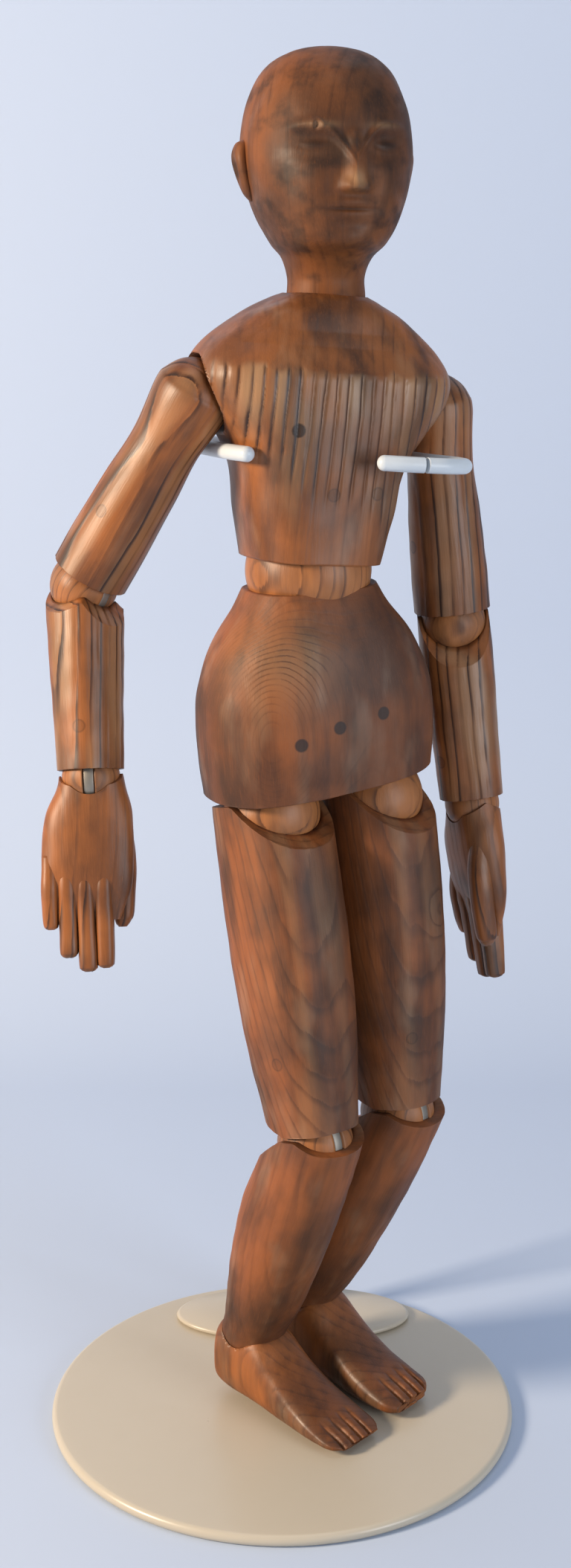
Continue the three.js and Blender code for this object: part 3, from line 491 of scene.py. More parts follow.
def wood_masks(node, grain, values, banding, blot):
    """Masks of stained wood: (fibres, stain, and a dictionary of soft steps and their products)."""
    streaked, rubbing = (
        node("VectorMath", [grain, (1.0, 1.0, squeeze)], operation="MULTIPLY") for squeeze in (0.05, blot[0])
    )
    fibre, broad, blotch, stain, hands = (
        node("TexNoise", {"Vector": where, "Scale": 1 / size, "Detail": detail})
        for where, size, detail in (
            (streaked, FIBRE, 6.0),
            (streaked, STREAK, 4.0),
            (grain, BLOTCH, 5.0),
            (rubbing, blot[1], 4.0),
            (rubbing, HAND_RUB, 3.0),
        )
    )
    wavy = node("Math", [fibre, 0.16, values["ring"]], operation="MULTIPLY_ADD")
    phase = node("Math", [wavy], operation="FRACT")
    soft_steps = {
        "late wood": (phase, 0.66, 0.94),
        "ring end": (phase, 0.95, 1.0),
        "lined streaks": (broad, 0.28, 0.58),
        "pale patches": (blotch, 0.34, 0.64),
        "dark streaks": (broad, 0.45, 0.72),
        "dark stain": (stain, 0.47, 0.7),
        "rubbed": (hands, 0.5, 0.72),
        "pale fibres": (fibre, 0.52, 0.78),
        "past dowel": (values["plug"], 2.1, 2.6),
        "dowel edge": (values["plug"], 1.9, 2.3),
        "past edge": (values["plug"], 2.5, 3.0),
    }
    masks = {}
    for label, limits in soft_steps.items():
        masks[label] = node("MapRange", limits, interpolation_type="SMOOTHSTEP")
    line = node("Math", [masks["late wood"], masks["ring end"]], operation="SUBTRACT")
    shown = node("Math", [masks["lined streaks"], banding], operation="MULTIPLY")
    shown = node("Math", [shown, values["lined"]], operation="MULTIPLY")
    masks["line"] = node("Math", [line, shown], operation="MULTIPLY")
    between = node("Math", [1.0, masks["line"]], operation="SUBTRACT")
    masks["handled"] = node("Math", [masks["rubbed"], between], operation="MULTIPLY")
    # pale worn wood, which on the chest ridges and the brow is a painted highlight
    masks["worn"] = node("Math", [values["wear"], between], operation="MULTIPLY")
    dowel_end = node("Math", [1.0, masks["past dowel"]], operation="SUBTRACT")
    masks["dowel end"] = node("Math", [dowel_end, values["dowel"]], operation="MULTIPLY")
    joint = node("Math", [masks["dowel edge"], masks["past edge"]], operation="SUBTRACT")
    depth = node("Math", [values["dowel"], 0.4, 0.25], operation="MULTIPLY_ADD")
    masks["dowel joint"] = node("Math", [joint, depth], operation="MULTIPLY")
    return fibre, stain, masks


def wood_material(name, pale, body, dark, banding, gloss=0.4, rub=0.25, blot=(0.35, STAIN), spec=0.45):
    """Stained softwood: layers of colour over the body stain, each by its mask times its strength. blot is
    how far the blots are squeezed along the grain and their size in millimetres."""
    material, shader, node = new_material(name)
    grain = node("Attribute", output="Vector", attribute_name="grain")
    values = {label: node("Attribute", output="Fac", attribute_name=label) for label in POINT_VALUES}
    fibre, stain, masks = wood_masks(node, grain, values, banding, blot)
    colour = linear(body)
    for mask, strength, code in (
        (masks["pale patches"], 1.0, pale),
        (masks["dark streaks"], 0.4, dark),
        (masks["dark stain"], 0.68, dark),
        (masks["handled"], rub, RUBBED_WOOD),
        (masks["pale fibres"], 0.28, pale),
        # pale wear, partly a painted highlight on the chest ridges and the brow
        (masks["worn"], 1.0, BARE_WOOD_AND_HIGHLIGHT),
        (masks["line"], 1.0, dark),
        # painted shade in hollows, in the face's sunk places and on sides turned from the key lamp
        (values["inner"], 0.75, PAINTED_SHADE_BROWN),
        (masks["dowel end"], 1.0, DOWEL_DARK),
        (masks["dowel joint"], 1.0, DOWEL_EDGE),
    ):
        factor = node("Math", [mask, strength], operation="MULTIPLY")
        colour = node("Mix", {0: factor, 6: colour, 7: linear(code)}, 2, data_type="RGBA")
    rough = node("Math", [stain, 0.3, gloss - 0.15], operation="MULTIPLY_ADD")
    polish = node("Math", [masks["rubbed"], values["wear"]], operation="MAXIMUM")
    polish = node("Math", [polish, 0.12], operation="MULTIPLY")
    rough = node("Math", [rough, polish], operation="SUBTRACT")
    fibres = node("Bump", {"Strength": 0.35, "Distance": 0.00025, "Height": fibre})
    fill(shader, {"Base Color": colour, "Roughness": rough, "Normal": fibres, "Specular IOR Level": spec})
    return material


# Pine under a thin red-brown stain, planed and handled: brown with soft blots and a dull shine
PINE = wood_material("stained pine", "8c4e22", "5a3217", "27180f", 0.6, gloss=0.6)
# The same pine where the rings stand proud: stronger lines and polished ridge tops
PINE_RIDGED = wood_material("ridged stained pine", "9a5a2a", "6d3f1f", "241610", 0.9, gloss=0.46)
# The head's darker coat, rubbed across the grain: dark blots, hardly any lines
PINE_DARK = wood_material(
    "dark stained pine", "7c4720", "4a2c19", "21150f", 0.2, gloss=0.6, rub=0.05, blot=(1.3, 12.5), spec=0.3
)
# Balls lose their stain to the hollows they turn in: paler, with fine turned rings
BALL_WOOD = wood_material("worn turned pine", "a96c3c", "8a542c", "43281a", 0.7, gloss=0.48)
# Dowel ends drink stain: dark and matt
DOWEL = wood_material("dowel end grain", "6d4f36", "4d3524", "2a1a12", 0.3)
print([finish.name for finish in (PINE, PINE_RIDGED, PINE_DARK, BALL_WOOD, DOWEL)])

# %% [markdown]
# ## Iron, enamel, vinyl and paper
# The tongues are worn sheet iron, the stand is dipped in cream enamel, and the clamp wire has a white
# vinyl cover. All are smooth, so a faint mottle in colour and shine is enough to keep them from looking
# like plain computer grey. The paper of the backdrop shows only its front, so that a view from behind
# it still sees the figure.

# %% Smooth finishes
MOTTLE = 11.11  # size of the mottle in mm
HANDLING_DIRT = "5a5046"


def plain_material(name, code, roughness, metallic=0.0, speck=0.06, one_sided=False):
    """A smooth finish: a mottle carries the colour towards dirt and the roughness up and down by 0.05."""
    material, shader, node = new_material(name)
    where = node("TexCoord", output="Object")
    mottle = node("TexNoise", {"Vector": where, "Scale": MM / MOTTLE, "Detail": 4.0})
    dirt = node("Math", [mottle, speck * 2], operation="MULTIPLY")
    base = node("Mix", {0: dirt, 6: linear(code), 7: linear(HANDLING_DIRT)}, 2, data_type="RGBA")
    rough = node("Math", [mottle, 0.1, roughness - 0.05], operation="MULTIPLY_ADD")
    fill(shader, {"Base Color": base, "Roughness": rough, "Metallic": metallic})
    if one_sided:
        back = node("NewGeometry", output="Backfacing")
        fill(shader, {"Alpha": node("Math", [1.0, back], operation="SUBTRACT")})
    return material


# Sheet iron rubbed by the slot it swings in: grey, half bright, spotted
IRON = plain_material("worn grey iron", "9b958b", 0.5, metallic=0.7, speck=0.2)
# Stove enamel: an even cream with a soft shine
ENAMEL = plain_material("cream enamel", "bfb5a3", 0.3, speck=0.02)
# Drawn vinyl cover: cool white, satin
VINYL = plain_material("white vinyl", "ccd3d8", 0.35, speck=0.01)
# Studio paper: pale blue and matt
PAPER = plain_material("pale paper", "bac7dc", 0.9, speck=0.0, one_sided=True)
print([finish.name for finish in (IRON, ENAMEL, VINYL, PAPER)])

# %% [markdown]
# ## The chest
# One block, boxy at the waist and wide at the shoulders, with a hollow on either side for the shoulder
# and a front on which the growth rings stand out as ridges. A boolean would cut the hollows but leave
# ragged edges in a dense mesh. So every point inside the ball of a shoulder is pushed inwards to the
# far side of that ball, and points close to its rim are drawn onto the rim.

# %% Form of the chest
CHEST_TOP = 105.6
CHEST = [
    (CHEST_TOP, 15.3, 15.3, 0, 1.5), (103, 21, 18.8, 0, 2), (97.5, 31.5, 22.6, 0, 2), (86, 46.5, 27, 0, 2),
    (77, 52, 29, 0, 2), (66, 50, 29.5, 0, 1), (44, 34.6, 28), (22, 30, 26.5), (4.5, 26, 25.6),
]
SHOULDER_HOLLOW = 17.4


def scoop(grid, centre, radius, toward, reach=0.9):
    """Moves points inside a ball along toward to its far side, the larger root of the line's crossing with
    the ball; points closer to its rim than reach slide along the surface onto the rim."""
    gap = grid - centre
    far = np.linalg.norm(gap, axis=-1)
    near = np.abs(far - radius) < reach
    out = normals(grid)
    along = gap / far[..., None]
    slide = along - np.sum(along * out, -1, keepdims=True) * out
    slide /= np.maximum(np.sum(slide * along, -1, keepdims=True), 0.2)
    grid = np.where(near[..., None], grid - slide * (far - radius)[..., None], grid)
    gap = grid - centre
    b = gap @ toward
    c = np.sum(gap**2, -1) - radius**2
    inside = (c < -0.05 * radius) & ~near
    t = -b + np.sqrt(np.maximum(b**2 - c, 0))
    return np.where(inside[..., None], grid + t[..., None] * toward, grid), inside


chest = lengthwise(CHEST, 2.9, 420, 190)
chest_inner = np.zeros(chest.shape[:2])
origin, turn = FRAMES["chest"]
for side, inwards in (("right", 1), ("left", -1)):
    socket = (place("shoulder_raise_" + side) - origin) @ turn
    chest, hollow = scoop(chest, socket, SHOULDER_HOLLOW, np.array([inwards, 0.0, 0.0]))
    # painted shade in the shoulder hollows
    chest_inner = np.maximum(chest_inner, hollow * 0.7)
print("points in the shoulder hollows", int((chest_inner > 0).sum()))

# %% Ridged front of the chest
LEDGE = 77  # height of the ledge where the ridges stop and the smooth slope to the neck starts
facing = np.clip((-chest[..., 1] - 8) / 10, 0, 1)
across, height = chest[..., 0], chest[..., 2]
slope = np.clip((height - LEDGE) / 9, 0, 1) * np.clip((CHEST_TOP - height) / 14, 0, 1)
swell = np.exp(-(((height - LEDGE + 2) / 3.5) ** 2))
chest[..., 1] += facing * (2.6 * slope - 0.7 * swell)
low_edge = 30 - 0.35 * across + 3 * np.sin(across / 6)
top_edge = LEDGE - 1 + 1.4 * drift(chest * [1, 0, 0], 9, 12) + 0.06 * np.abs(across)
below_top = 1 - step(height, top_edge - 1.6, top_edge + 1.6)
ridged = facing * step(height, low_edge - 6, low_edge + 6) * below_top
print("share of the chest that is ridged", round(float((ridged > 0.5).mean()), 2))

# %% Wood of the chest
CHEST_WOOD = Timber((-160, 25), (0.03, 0), 4.6, 11)
CHEST_DOWELS = ((-20.5, 55, 0.85), (-4, 31.5, 0.25), (15, 32.5, 0.25))
band = (growth_rings(chest, CHEST_WOOD) / CHEST_WOOD.pitch + RING_LEAD).astype(int)
band_shade = np.random.default_rng(5).uniform(0.25, 1.15, 80)[band]
carved = np.clip(ridged + facing * bump(across, height, (15, 88), (8, 9), 0.5), 0, 1)
rubbed_patches = np.clip(0.75 + 0.6 * drift(chest, 30, 17), 0.15, 1)
# pale ridge tops: partly wear, partly a painted highlight, stronger high on the ridged front
chest_wear = ridged * band_shade * (0.25 + 0.4 * step(height, 48, 72)) * rubbed_patches
piece(
    "chest_carving", chest, FRAMES["chest"], "chest",
    ["chest", "chest_dowel_upper", "chest_dowel_lower", "chest_dowel_side"], PINE_RIDGED, timber=CHEST_WOOD,
    plugs=[Plug(np.array([x, 0, z]), FRONT, dark) for x, z, dark in CHEST_DOWELS],
    inner=chest_inner, relief=0.06 + 0.9 * carved, wear=chest_wear, lined=0.16 + 0.84 * carved,
)

# %% [markdown]
# ## Balls and plates
# Between the carved pieces sit turned balls. Some show the slot in which an iron tongue swings. A UV
# sphere has no slot, so the ball is a profile spun about the bending axis: an arc to the slot's edge,
# a straight wall down into it, and the same mirrored.

# %% Balls and plates
BALL = {"waist": 25, "elbow": 13.5, "wrist": 11.5, "hip": 19.5, "knee": 15.5}
SLOT, PLATE_THICK, PLATE_INSET = 4.8, 4.2, 0.6
MIRROR = [1, -1]


def ball(radius, slot=0.0, columns=64):
    """A turned ball about X: an arc spun round. A slot of that width is cut to two thirds of the radius."""
    if slot:
        a = np.linspace(0.02, np.arccos(slot / 2 / radius), 24)
        arc = np.column_stack([radius * np.sin(a), -radius * np.cos(a)])
        half = np.vstack([arc, [[0.66 * radius, -slot / 2]]])
        profile = np.vstack([half, (half * MIRROR)[::-1]])
    else:
        a = np.linspace(0.02, np.pi - 0.02, 48)
        profile = np.column_stack([radius * np.sin(a), -radius * np.cos(a)])
    return turned(profile, columns)[..., ::-1]


def plate(radius):
    """A flat round plate about X with eased edges: half its outline, mirrored and spun round."""
    side = -PLATE_THICK / 2
    half = np.array([[0.1, side], [radius - 0.5, side], [radius - 0.15, side + 0.2], [radius, side + 0.5]])
    return turned(np.vstack([half, (half * MIRROR)[::-1]]), 64)[..., ::-1]


def tongue_plate(name, joint, where, body, node):
    """The iron plate of a joint that shows in its ball's slot."""
    piece(name, plate(BALL[joint] - PLATE_INSET), where, body, [node], IRON, "grey_iron")


piece(
    "waist_turning", ball(BALL["waist"], columns=96), FRAMES["waist"], "waist_ball", ["waist_ball"],
    BALL_WOOD, timber=Timber((60, 20), (0, 0), 4.0, 21), relief=0.12,
)

# %% [markdown]
# ## The pelvis
# A smooth bell with a straight hem that rises to the figure's left. High on its right the knife has cut
# across swollen rings, which show as nested arcs. They could be drawn as lines, but a knot beside the
# surface bends the rings and gives arcs of the right spacing by itself.

# %% Pelvis
PELVIS = [
    (-6, 26, 22.5), (-14, 30.5, 25.5), (-28, 40.5, 30), (-44, 46.6, 33), (-58, 48.2, 34), (-74, 48, 33.5),
    (-87.5, 47, 32),
]
HEM, HEM_TILT, HEM_LOW_END, SKIRT_START = -87.5, 3.7, -48, -40
PELVIS_KNOTS = (((-33, -31, -62), 24, 36, 30), ((-6, -33, -30), 15, 13, 3))
PELVIS_DOWELS = ((-21.5, -62), (-5.5, -57), (14, -54))
pelvis = lengthwise(PELVIS, 2.6, 360, 220)
hem = HEM + np.tan(np.radians(HEM_TILT)) * (pelvis[..., 0] - HEM_LOW_END)
skirt = SKIRT_START + (pelvis[..., 2] - SKIRT_START) * (hem - SKIRT_START) / (HEM - SKIRT_START)
pelvis[..., 2] = np.where(pelvis[..., 2] < SKIRT_START, skirt, pelvis[..., 2])
arcs = bump(pelvis[..., 0], pelvis[..., 2], (-22, -31), (17, 14), 1) * (pelvis[..., 1] < 0)
piece(
    "pelvis_carving", pelvis, FRAMES["pelvis"], "pelvis",
    ["pelvis", "pelvis_dowel_right", "pelvis_dowel_middle", "pelvis_dowel_left"], PINE,
    timber=Timber((-2, 30), (0.06, 0.06), 2.0, 31, PELVIS_KNOTS),
    plugs=[Plug(np.array([x, 0, z]), FRONT, 0.85) for x, z in PELVIS_DOWELS],
    # painted shade: darker towards the figure's left, the side turned from the key lamp
    inner=0.42 * step(pelvis[..., 0], -16, 6) * (1 - 0.6 * arcs),
    relief=0.05 + 0.45 * arcs, wear=0.3 * arcs, lined=0.2 + 0.8 * arcs,
)

# %% [markdown]
# ## The arms
# An upper arm has a domed shoulder and a hollow elbow end. A forearm is hollow at both ends, and the
# right one has low cheeks cut beside its ball. Both sides could be mirrored, but their elbows are bent
# differently, so each is cut for its own bend.

# %% Upper arms
SEED_OF_SIDE = {"right": 5, "left": 4}
SLOT_OF_SIDE = {"right": SLOT, "left": 0.0}
SHOULDER_CAP = 15.2
CAP_STEPS = ((0.92, 0.39), (0.7, 0.71), (0.38, 0.92))
UPPER_ARM = [(0, SHOULDER_CAP, SHOULDER_CAP), (-20, 13.4, 13.4), (-40, 14.6, 14.2), (-64, 15.6, 15)]
ELBOW_RIM = 5.5
UPPER_DOWEL = {"right": -85, "left": -70}


def rubbed(grid, seed, amount):
    """Long patches where hands have rubbed the stain away: a drift drawn out along Z, from 0 to amount."""
    return amount * step(drift(grid * [1, 1, 0.12], 14, seed), -0.1, 0.7)


reach = LENGTHS["upper_arm"]
dome = [(SHOULDER_CAP * up, SHOULDER_CAP * out, SHOULDER_CAP * out) for up, out in CAP_STEPS]
upper_rows = [(SHOULDER_CAP - 0.1, 1.5, 1.5)] + dome + UPPER_ARM + [(-reach + ELBOW_RIM, 15.8, 15)]
elbow_end = End(-reach, BALL["elbow"] + CLEAR, [tilted(180, -ELBOW_RIM)], -1)
for side in SIDES:
    upper, fore = FRAMES["upper_arm_" + side], FRAMES["forearm_" + side]
    grid, inner = limb(upper_rows, 2.1, End(0, 0, [], 1), elbow_end)
    piece(
        "upper_arm_carving_" + side, grid, upper, "upper_arm_" + side,
        ["upper_arm_" + side, "upper_arm_dowel_" + side], PINE_RIDGED,
        timber=Timber((70, 20), (0.02, 0.03), 4.3, 41 + SEED_OF_SIDE[side]),
        plugs=[side_plug(UPPER_DOWEL[side], -reach + 34, 0.3)],
        inner=inner, relief=0.4, wear=rubbed(grid, 46, 0.3),
    )
    piece(
        "elbow_turning_" + side, ball(BALL["elbow"], SLOT_OF_SIDE[side]), (fore[0], upper[1]),
        "elbow_ball_" + side, ["elbow_ball_" + side], BALL_WOOD, "pale_wood",
        timber=Timber((0, 40), (0, 0), 3.0, 51), relief=0.12,
    )
tongue_plate("elbow_plate_right", "elbow", FRAMES["forearm_right"], "forearm_right", "elbow_tongue_right")

# %% Forearms
ELBOW_FOLD = 62  # degrees by which the elbow folds in all, counted from a straight arm
WRIST_RIM = 3.4
FORE_DOWEL = {"right": -65, "left": -60}
CHEEKS = {"right": [(np.array([way * 0.72, 0, 0.69]), 2.6) for way in (-1, 1)], "left": []}
reach = LENGTHS["forearm"]
fore_rows = [(8, 14.6, 14), (-4, 15, 14.2), (-20, 15, 14), (-45, 14, 12.8), (-reach + WRIST_RIM, 13.2, 11.8)]
wrist_end = End(-reach, BALL["wrist"] + CLEAR, [tilted(180, -WRIST_RIM)], -1)
for side in SIDES:
    fore, hand = FRAMES["forearm_" + side], FRAMES["hand_" + side]
    bent = bend_between(FRAMES["upper_arm_" + side], fore)
    bevels = [tilted(angle, 4) for angle in (bent, (bent + ELBOW_FOLD) / 2, ELBOW_FOLD)]
    start = End(0, BALL["elbow"] + CLEAR, bevels + CHEEKS[side], 1)
    grid, inner = limb(fore_rows, 2.4, start, wrist_end)
    piece(
        "forearm_carving_" + side, grid, fore, "forearm_" + side,
        ["forearm_" + side, "forearm_dowel_" + side], PINE_RIDGED,
        timber=Timber((60, -25), (0.02, 0.02), 4.2, 61 + SEED_OF_SIDE[side]),
        plugs=[side_plug(FORE_DOWEL[side], -reach + 20, 0.2)],
        inner=inner, relief=0.45, wear=rubbed(grid, 66, 0.4),
    )
    piece(
        "wrist_turning_" + side, ball(BALL["wrist"], SLOT_OF_SIDE[side]), hand,
        "wrist_ball_" + side, ["wrist_ball_" + side], BALL_WOOD, "pale_wood",
        timber=Timber((0, 40), (0, 0), 3.0, 71), relief=0.1,
    )
tongue_plate("wrist_plate_right", "wrist", FRAMES["hand_right"], "hand_right", "wrist_tongue_right")

# %% [markdown]
# ## The hands
# A flat paddle with four straight fingers and a thumb, parted by plain saw cuts. The fingers could be
# grooves in one surface, but cuts that deep fold a grid. So each finger is a small closed form of its
# own, sunk into the palm.

# %% Hands
HAND_WOOD = Timber((50, 30), (0, 0.05), 4.0, 81)
PALM_END = -56
# Across from the middle line, tip below the wrist, half width
FINGERS = [(-17.6, 59, 3.4), (-10.8, 70.5, 3.8), (-3.4, 76, 3.8), (3.6, 75, 3.6)]
for side, thumb in (("right", 1), ("left", -1)):
    hand, body = FRAMES["hand_" + side], "hand_" + side
    palm = [
        (4, 12.2, 9.6), (-4, 13.6, 9.8), (-14, 17.2, 9.6, -1.4 * thumb), (-26, 18.2, 8.6, -2.2 * thumb, -0.4),
        (-36, 18.2, 7.2, -2.6 * thumb, -0.8), (-43, 17.4, 5.6, -2.8 * thumb, -1),
        (-49, 16, 4.0, -3.4 * thumb, -1), (PALM_END, 13.5, 2.4, -3.8 * thumb, -1),
    ]
    start = End(0, BALL["wrist"] + CLEAR, [tilted(angle, 1.4) for angle in (-28, 0, 28)], 1)
    grid, inner = limb(palm, 2.4, start, End(PALM_END, 0, [], -1), 96, 80)
    piece(
        "palm_" + side, grid, hand, body, [body], PINE_RIDGED, timber=HAND_WOOD,
        inner=inner, relief=0.2, lined=0.4,
    )
    for number, (across, tip, half) in enumerate(FINGERS, 1):
        x = thumb * across
        finger = [
            (-30, half, 4.8, x + thumb * 0.6, -0.7), (-41, half + 0.1, 6.3, x + thumb * 0.2, -0.9),
            (-50, half, 5.4, x, -1), (-tip + 4, half - 0.2, 4.2, x, -1),
            (-tip + 1, half * 0.78, 3.2, x, -1), (-tip, half * 0.4, 1.6, x, -1),
        ]
        wood = HAND_WOOD._replace(seed=81 + number)
        grid = lengthwise(finger, 2.8, 40, 48)
        piece(f"finger_{number}_{side}", grid, hand, body, [], PINE_RIDGED, timber=wood, relief=0.15)
    thumb_rows = [
        (-12, 4, 4, thumb * 9, 2.6), (-30, 4.8, 4.8, thumb * 11.4, 6), (-52, 4.2, 4.4, thumb * 10.8, 5.4),
        (-57, 3, 3.2, thumb * 10.2, 5.1), (-59, 1.6, 1.8, thumb * 10, 5),
    ]
    grid = lengthwise(thumb_rows, 2.4, 40, 48)
    wood = HAND_WOOD._replace(seed=88)
    piece("thumb_" + side, grid, hand, body, [], PINE_RIDGED, timber=wood, relief=0.15)

# %% [markdown]
# ## The legs
# Thigh and shin are made like the arm. The thigh's rim is bevelled in front so that the hip can swing,
# and its knee end behind, so that the knee can fold. The shin ends in a dome that sits in the foot.
# Knots on the thighs show as swirls in the rings.

# %% Thighs and knees
HIP_RIM, HIP_BEVELS, KNEE_RIM, KNEE_BEVEL = 5.6, (0, 21, 42), 6, 20
THIGH_KNOT = {"right": ((14, -15, -70), 7, 17, 7.0), "left": ((7, -23, -48), 8, 9, 7.0)}
THIGH_DOWEL = {"right": -70, "left": -30}
reach = LENGTHS["thigh"]
thigh_rows = [
    (10, 21.8, 22), (-4, 22, 23.4), (-28, 21.8, 24.6), (-60, 21.6, 24.6), (-92, 20.6, 22.4),
    (-116, 18.4, 19.4), (-reach + KNEE_RIM, 17.2, 17.8),
]
hip_end = End(0, BALL["hip"] + CLEAR, [tilted(angle, HIP_RIM) for angle in HIP_BEVELS], 1)
knee_planes = [tilted(180, -KNEE_RIM), tilted(180 + KNEE_BEVEL, -KNEE_RIM)]
knee_end = End(-reach, BALL["knee"] + CLEAR, knee_planes, -1)
for side in SIDES:
    thigh, shin = FRAMES["thigh_" + side], FRAMES["shin_" + side]
    piece(
        "hip_turning_" + side, ball(BALL["hip"]), thigh, "hip_ball_" + side, ["hip_ball_" + side],
        BALL_WOOD, "pale_wood", timber=Timber((10, 34), (0.1, 0), 2.8, 91 + SEED_OF_SIDE[side]), relief=0.1,
    )
    grid, inner = limb(thigh_rows, 2.4, hip_end, knee_end, 144, 170)
    # painted shade over the front of each thigh, on the side turned from the key lamp
    front_shade = 0.3 * step(grid[..., 0], -14, 2) * step(-grid[..., 1], 0, 12)
    piece(
        "thigh_carving_" + side, grid, thigh, "thigh_" + side, ["thigh_" + side, "thigh_dowel_" + side], PINE,
        timber=Timber((8, 34), (0.05, 0.10), 3.0, 101 + SEED_OF_SIDE[side], (THIGH_KNOT[side],)),
        plugs=[side_plug(THIGH_DOWEL[side], -reach + 37, 0.2)],
        inner=np.maximum(inner, front_shade), relief=0.2, lined=0.6, wear=rubbed(grid, 106, 0.18),
    )
    piece(
        "knee_turning_" + side, ball(BALL["knee"], SLOT), (shin[0], thigh[1]), "knee_ball_" + side,
        ["knee_ball_" + side], BALL_WOOD, "pale_wood", timber=Timber((0, 40), (0, 0), 3.0, 111), relief=0.1,
    )
    tongue_plate("knee_plate_" + side, "knee", shin, "shin_" + side, "knee_tongue_" + side)

# %% Shins
KNEE_FOLD = 78  # degrees by which the knee folds in all, counted from a straight leg
reach = LENGTHS["shin"]
shin_rows = [
    (8, 17.5, 17.7), (-4, 17.7, 18.2), (-24, 17.9, 19.6, 0, 0.8), (-44, 18.2, 20.2, 0, 1.6),
    (-70, 17, 18.4, 0, 1), (-86, 15.7, 16), (-reach + 6, 13.4, 13.4), (-reach - 4, 12.4, 12.4),
    (-reach - 9, 9.6, 9.6), (-reach - 12, 5.4, 5.4), (-reach - 13.1, 0.6, 0.6),
]
for side in SIDES:
    shin = FRAMES["shin_" + side]
    bent = bend_between(FRAMES["thigh_" + side], shin)
    bevels = [tilted(angle, 4.4) for angle in (-bent, KNEE_BEVEL - KNEE_FOLD)]
    start = End(0, BALL["knee"] + CLEAR, bevels, 1)
    grid, inner = limb(shin_rows, 2.3, start, End(-reach, 0, [], -1), 120, 150)
    piece(
        "shin_carving_" + side, grid, shin, "shin_" + side, ["shin_" + side], PINE,
        timber=Timber((30, 45), (0.03, 0.05), 3.6, 121 + SEED_OF_SIDE[side]),
        inner=inner, relief=0.2, lined=0.35,
    )

# %% [markdown]
# ## The feet
# A wedge with a rounded heel, a blunt tip and shallow cuts between the toes. It could be modelled
# upright, but its sections run along the sole. So it is lofted lying down and then stood up, and the
# ankle's cup is scooped into it.

# %% Feet
TOE_CUTS = (-8.5, -3.2, 1.8, 7.0)
FOOT_GAP, INSTEP_TOP, ANKLE_CUP = 1, 2.2, 13.5
# Along the foot, half width, top, shift towards the other foot, rise of the sole
FOOT = [
    (15, 8.8, -2, 0, 4.4), (12, 11.8, 2.4, 0, 3.2), (4, 13.2, 4.4, 0, 1.8), (-10, 13.5, 2.6, 0, 0.9),
    (-22, 13.8, -7.5, 0, 0.3), (-36, 14.6, -17.5, 0.6, 0), (-48, 15, -23, 0.6, 0.4),
    (-56.5, 14, -26.2, 0.8, 1), (-61, 10, -28.4, 1.8, 2.2),
]


def foot_row(along, half, top, shift, rise, inner_side, drop):
    """One section as a station of the lying foot: half its height, and its middle below the ankle."""
    tall = (top + drop - rise) / 2
    return along, half, tall, inner_side * shift, tall - top


def foot_grid(inner_side, drop):
    """A foot along -Y: a loft of flattened sections, with a bell-shaped groove at each cut between toes."""
    rows = [foot_row(*row, inner_side, drop) for row in FOOT]
    lying = lengthwise(rows, 2.8, 160, 150)
    grid = np.stack([lying[..., 0], lying[..., 2], -lying[..., 1]], -1)
    across = grid[..., 0] * inner_side
    toes = np.clip((-grid[..., 1] - 46) / 8, 0, 1)
    upper = np.clip((grid[..., 2] + drop) / 5, 0, 1)
    for cut in TOE_CUTS:
        groove = np.exp(-(((across - cut) / 0.75) ** 2))
        grid[..., 2] -= 2.2 * groove * toes * upper
        grid[..., 1] += 1.2 * groove * np.clip((-grid[..., 1] - 50) / 6, 0, 1)
    grid[..., 2] = np.minimum(grid[..., 2], INSTEP_TOP)
    return grid


base_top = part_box("base_plate")[1][2] * MM
for side, inner_side in (("right", 1), ("left", -1)):
    foot = FRAMES["foot_" + side]
    grid = foot_grid(inner_side, foot[0][2] - base_top - FOOT_GAP)
    cup, hollow = scoop(grid, np.zeros(3), ANKLE_CUP, np.array([0.0, 0.0, -1.0]), 0.6)
    # painted shade on the up-facing top of the foot, added to that of the ankle cup
    top_shade = 0.45 * step(normals(grid)[..., 2], 0.55, 0.85)
    piece(
        "foot_carving_" + side, cup, foot, "foot_" + side, ["foot_" + side], PINE_RIDGED,
        timber=Timber((40, 10), (0, 0), 4.0, 131 + SEED_OF_SIDE[side]),
        inner=np.maximum(hollow * 0.8, top_shade), relief=0.1, lined=0.35,
    )

# %% [markdown]
# ## The head
# An egg on a short neck, with a plain face of few cuts: a brow that runs into the nose, sunk eyes, a
# straight mouth. Sculpting is the usual way to a face. Here it is a sum of soft bells and hollows,
# given in millimetres across and above the neck joint, because each can be moved by itself to match.

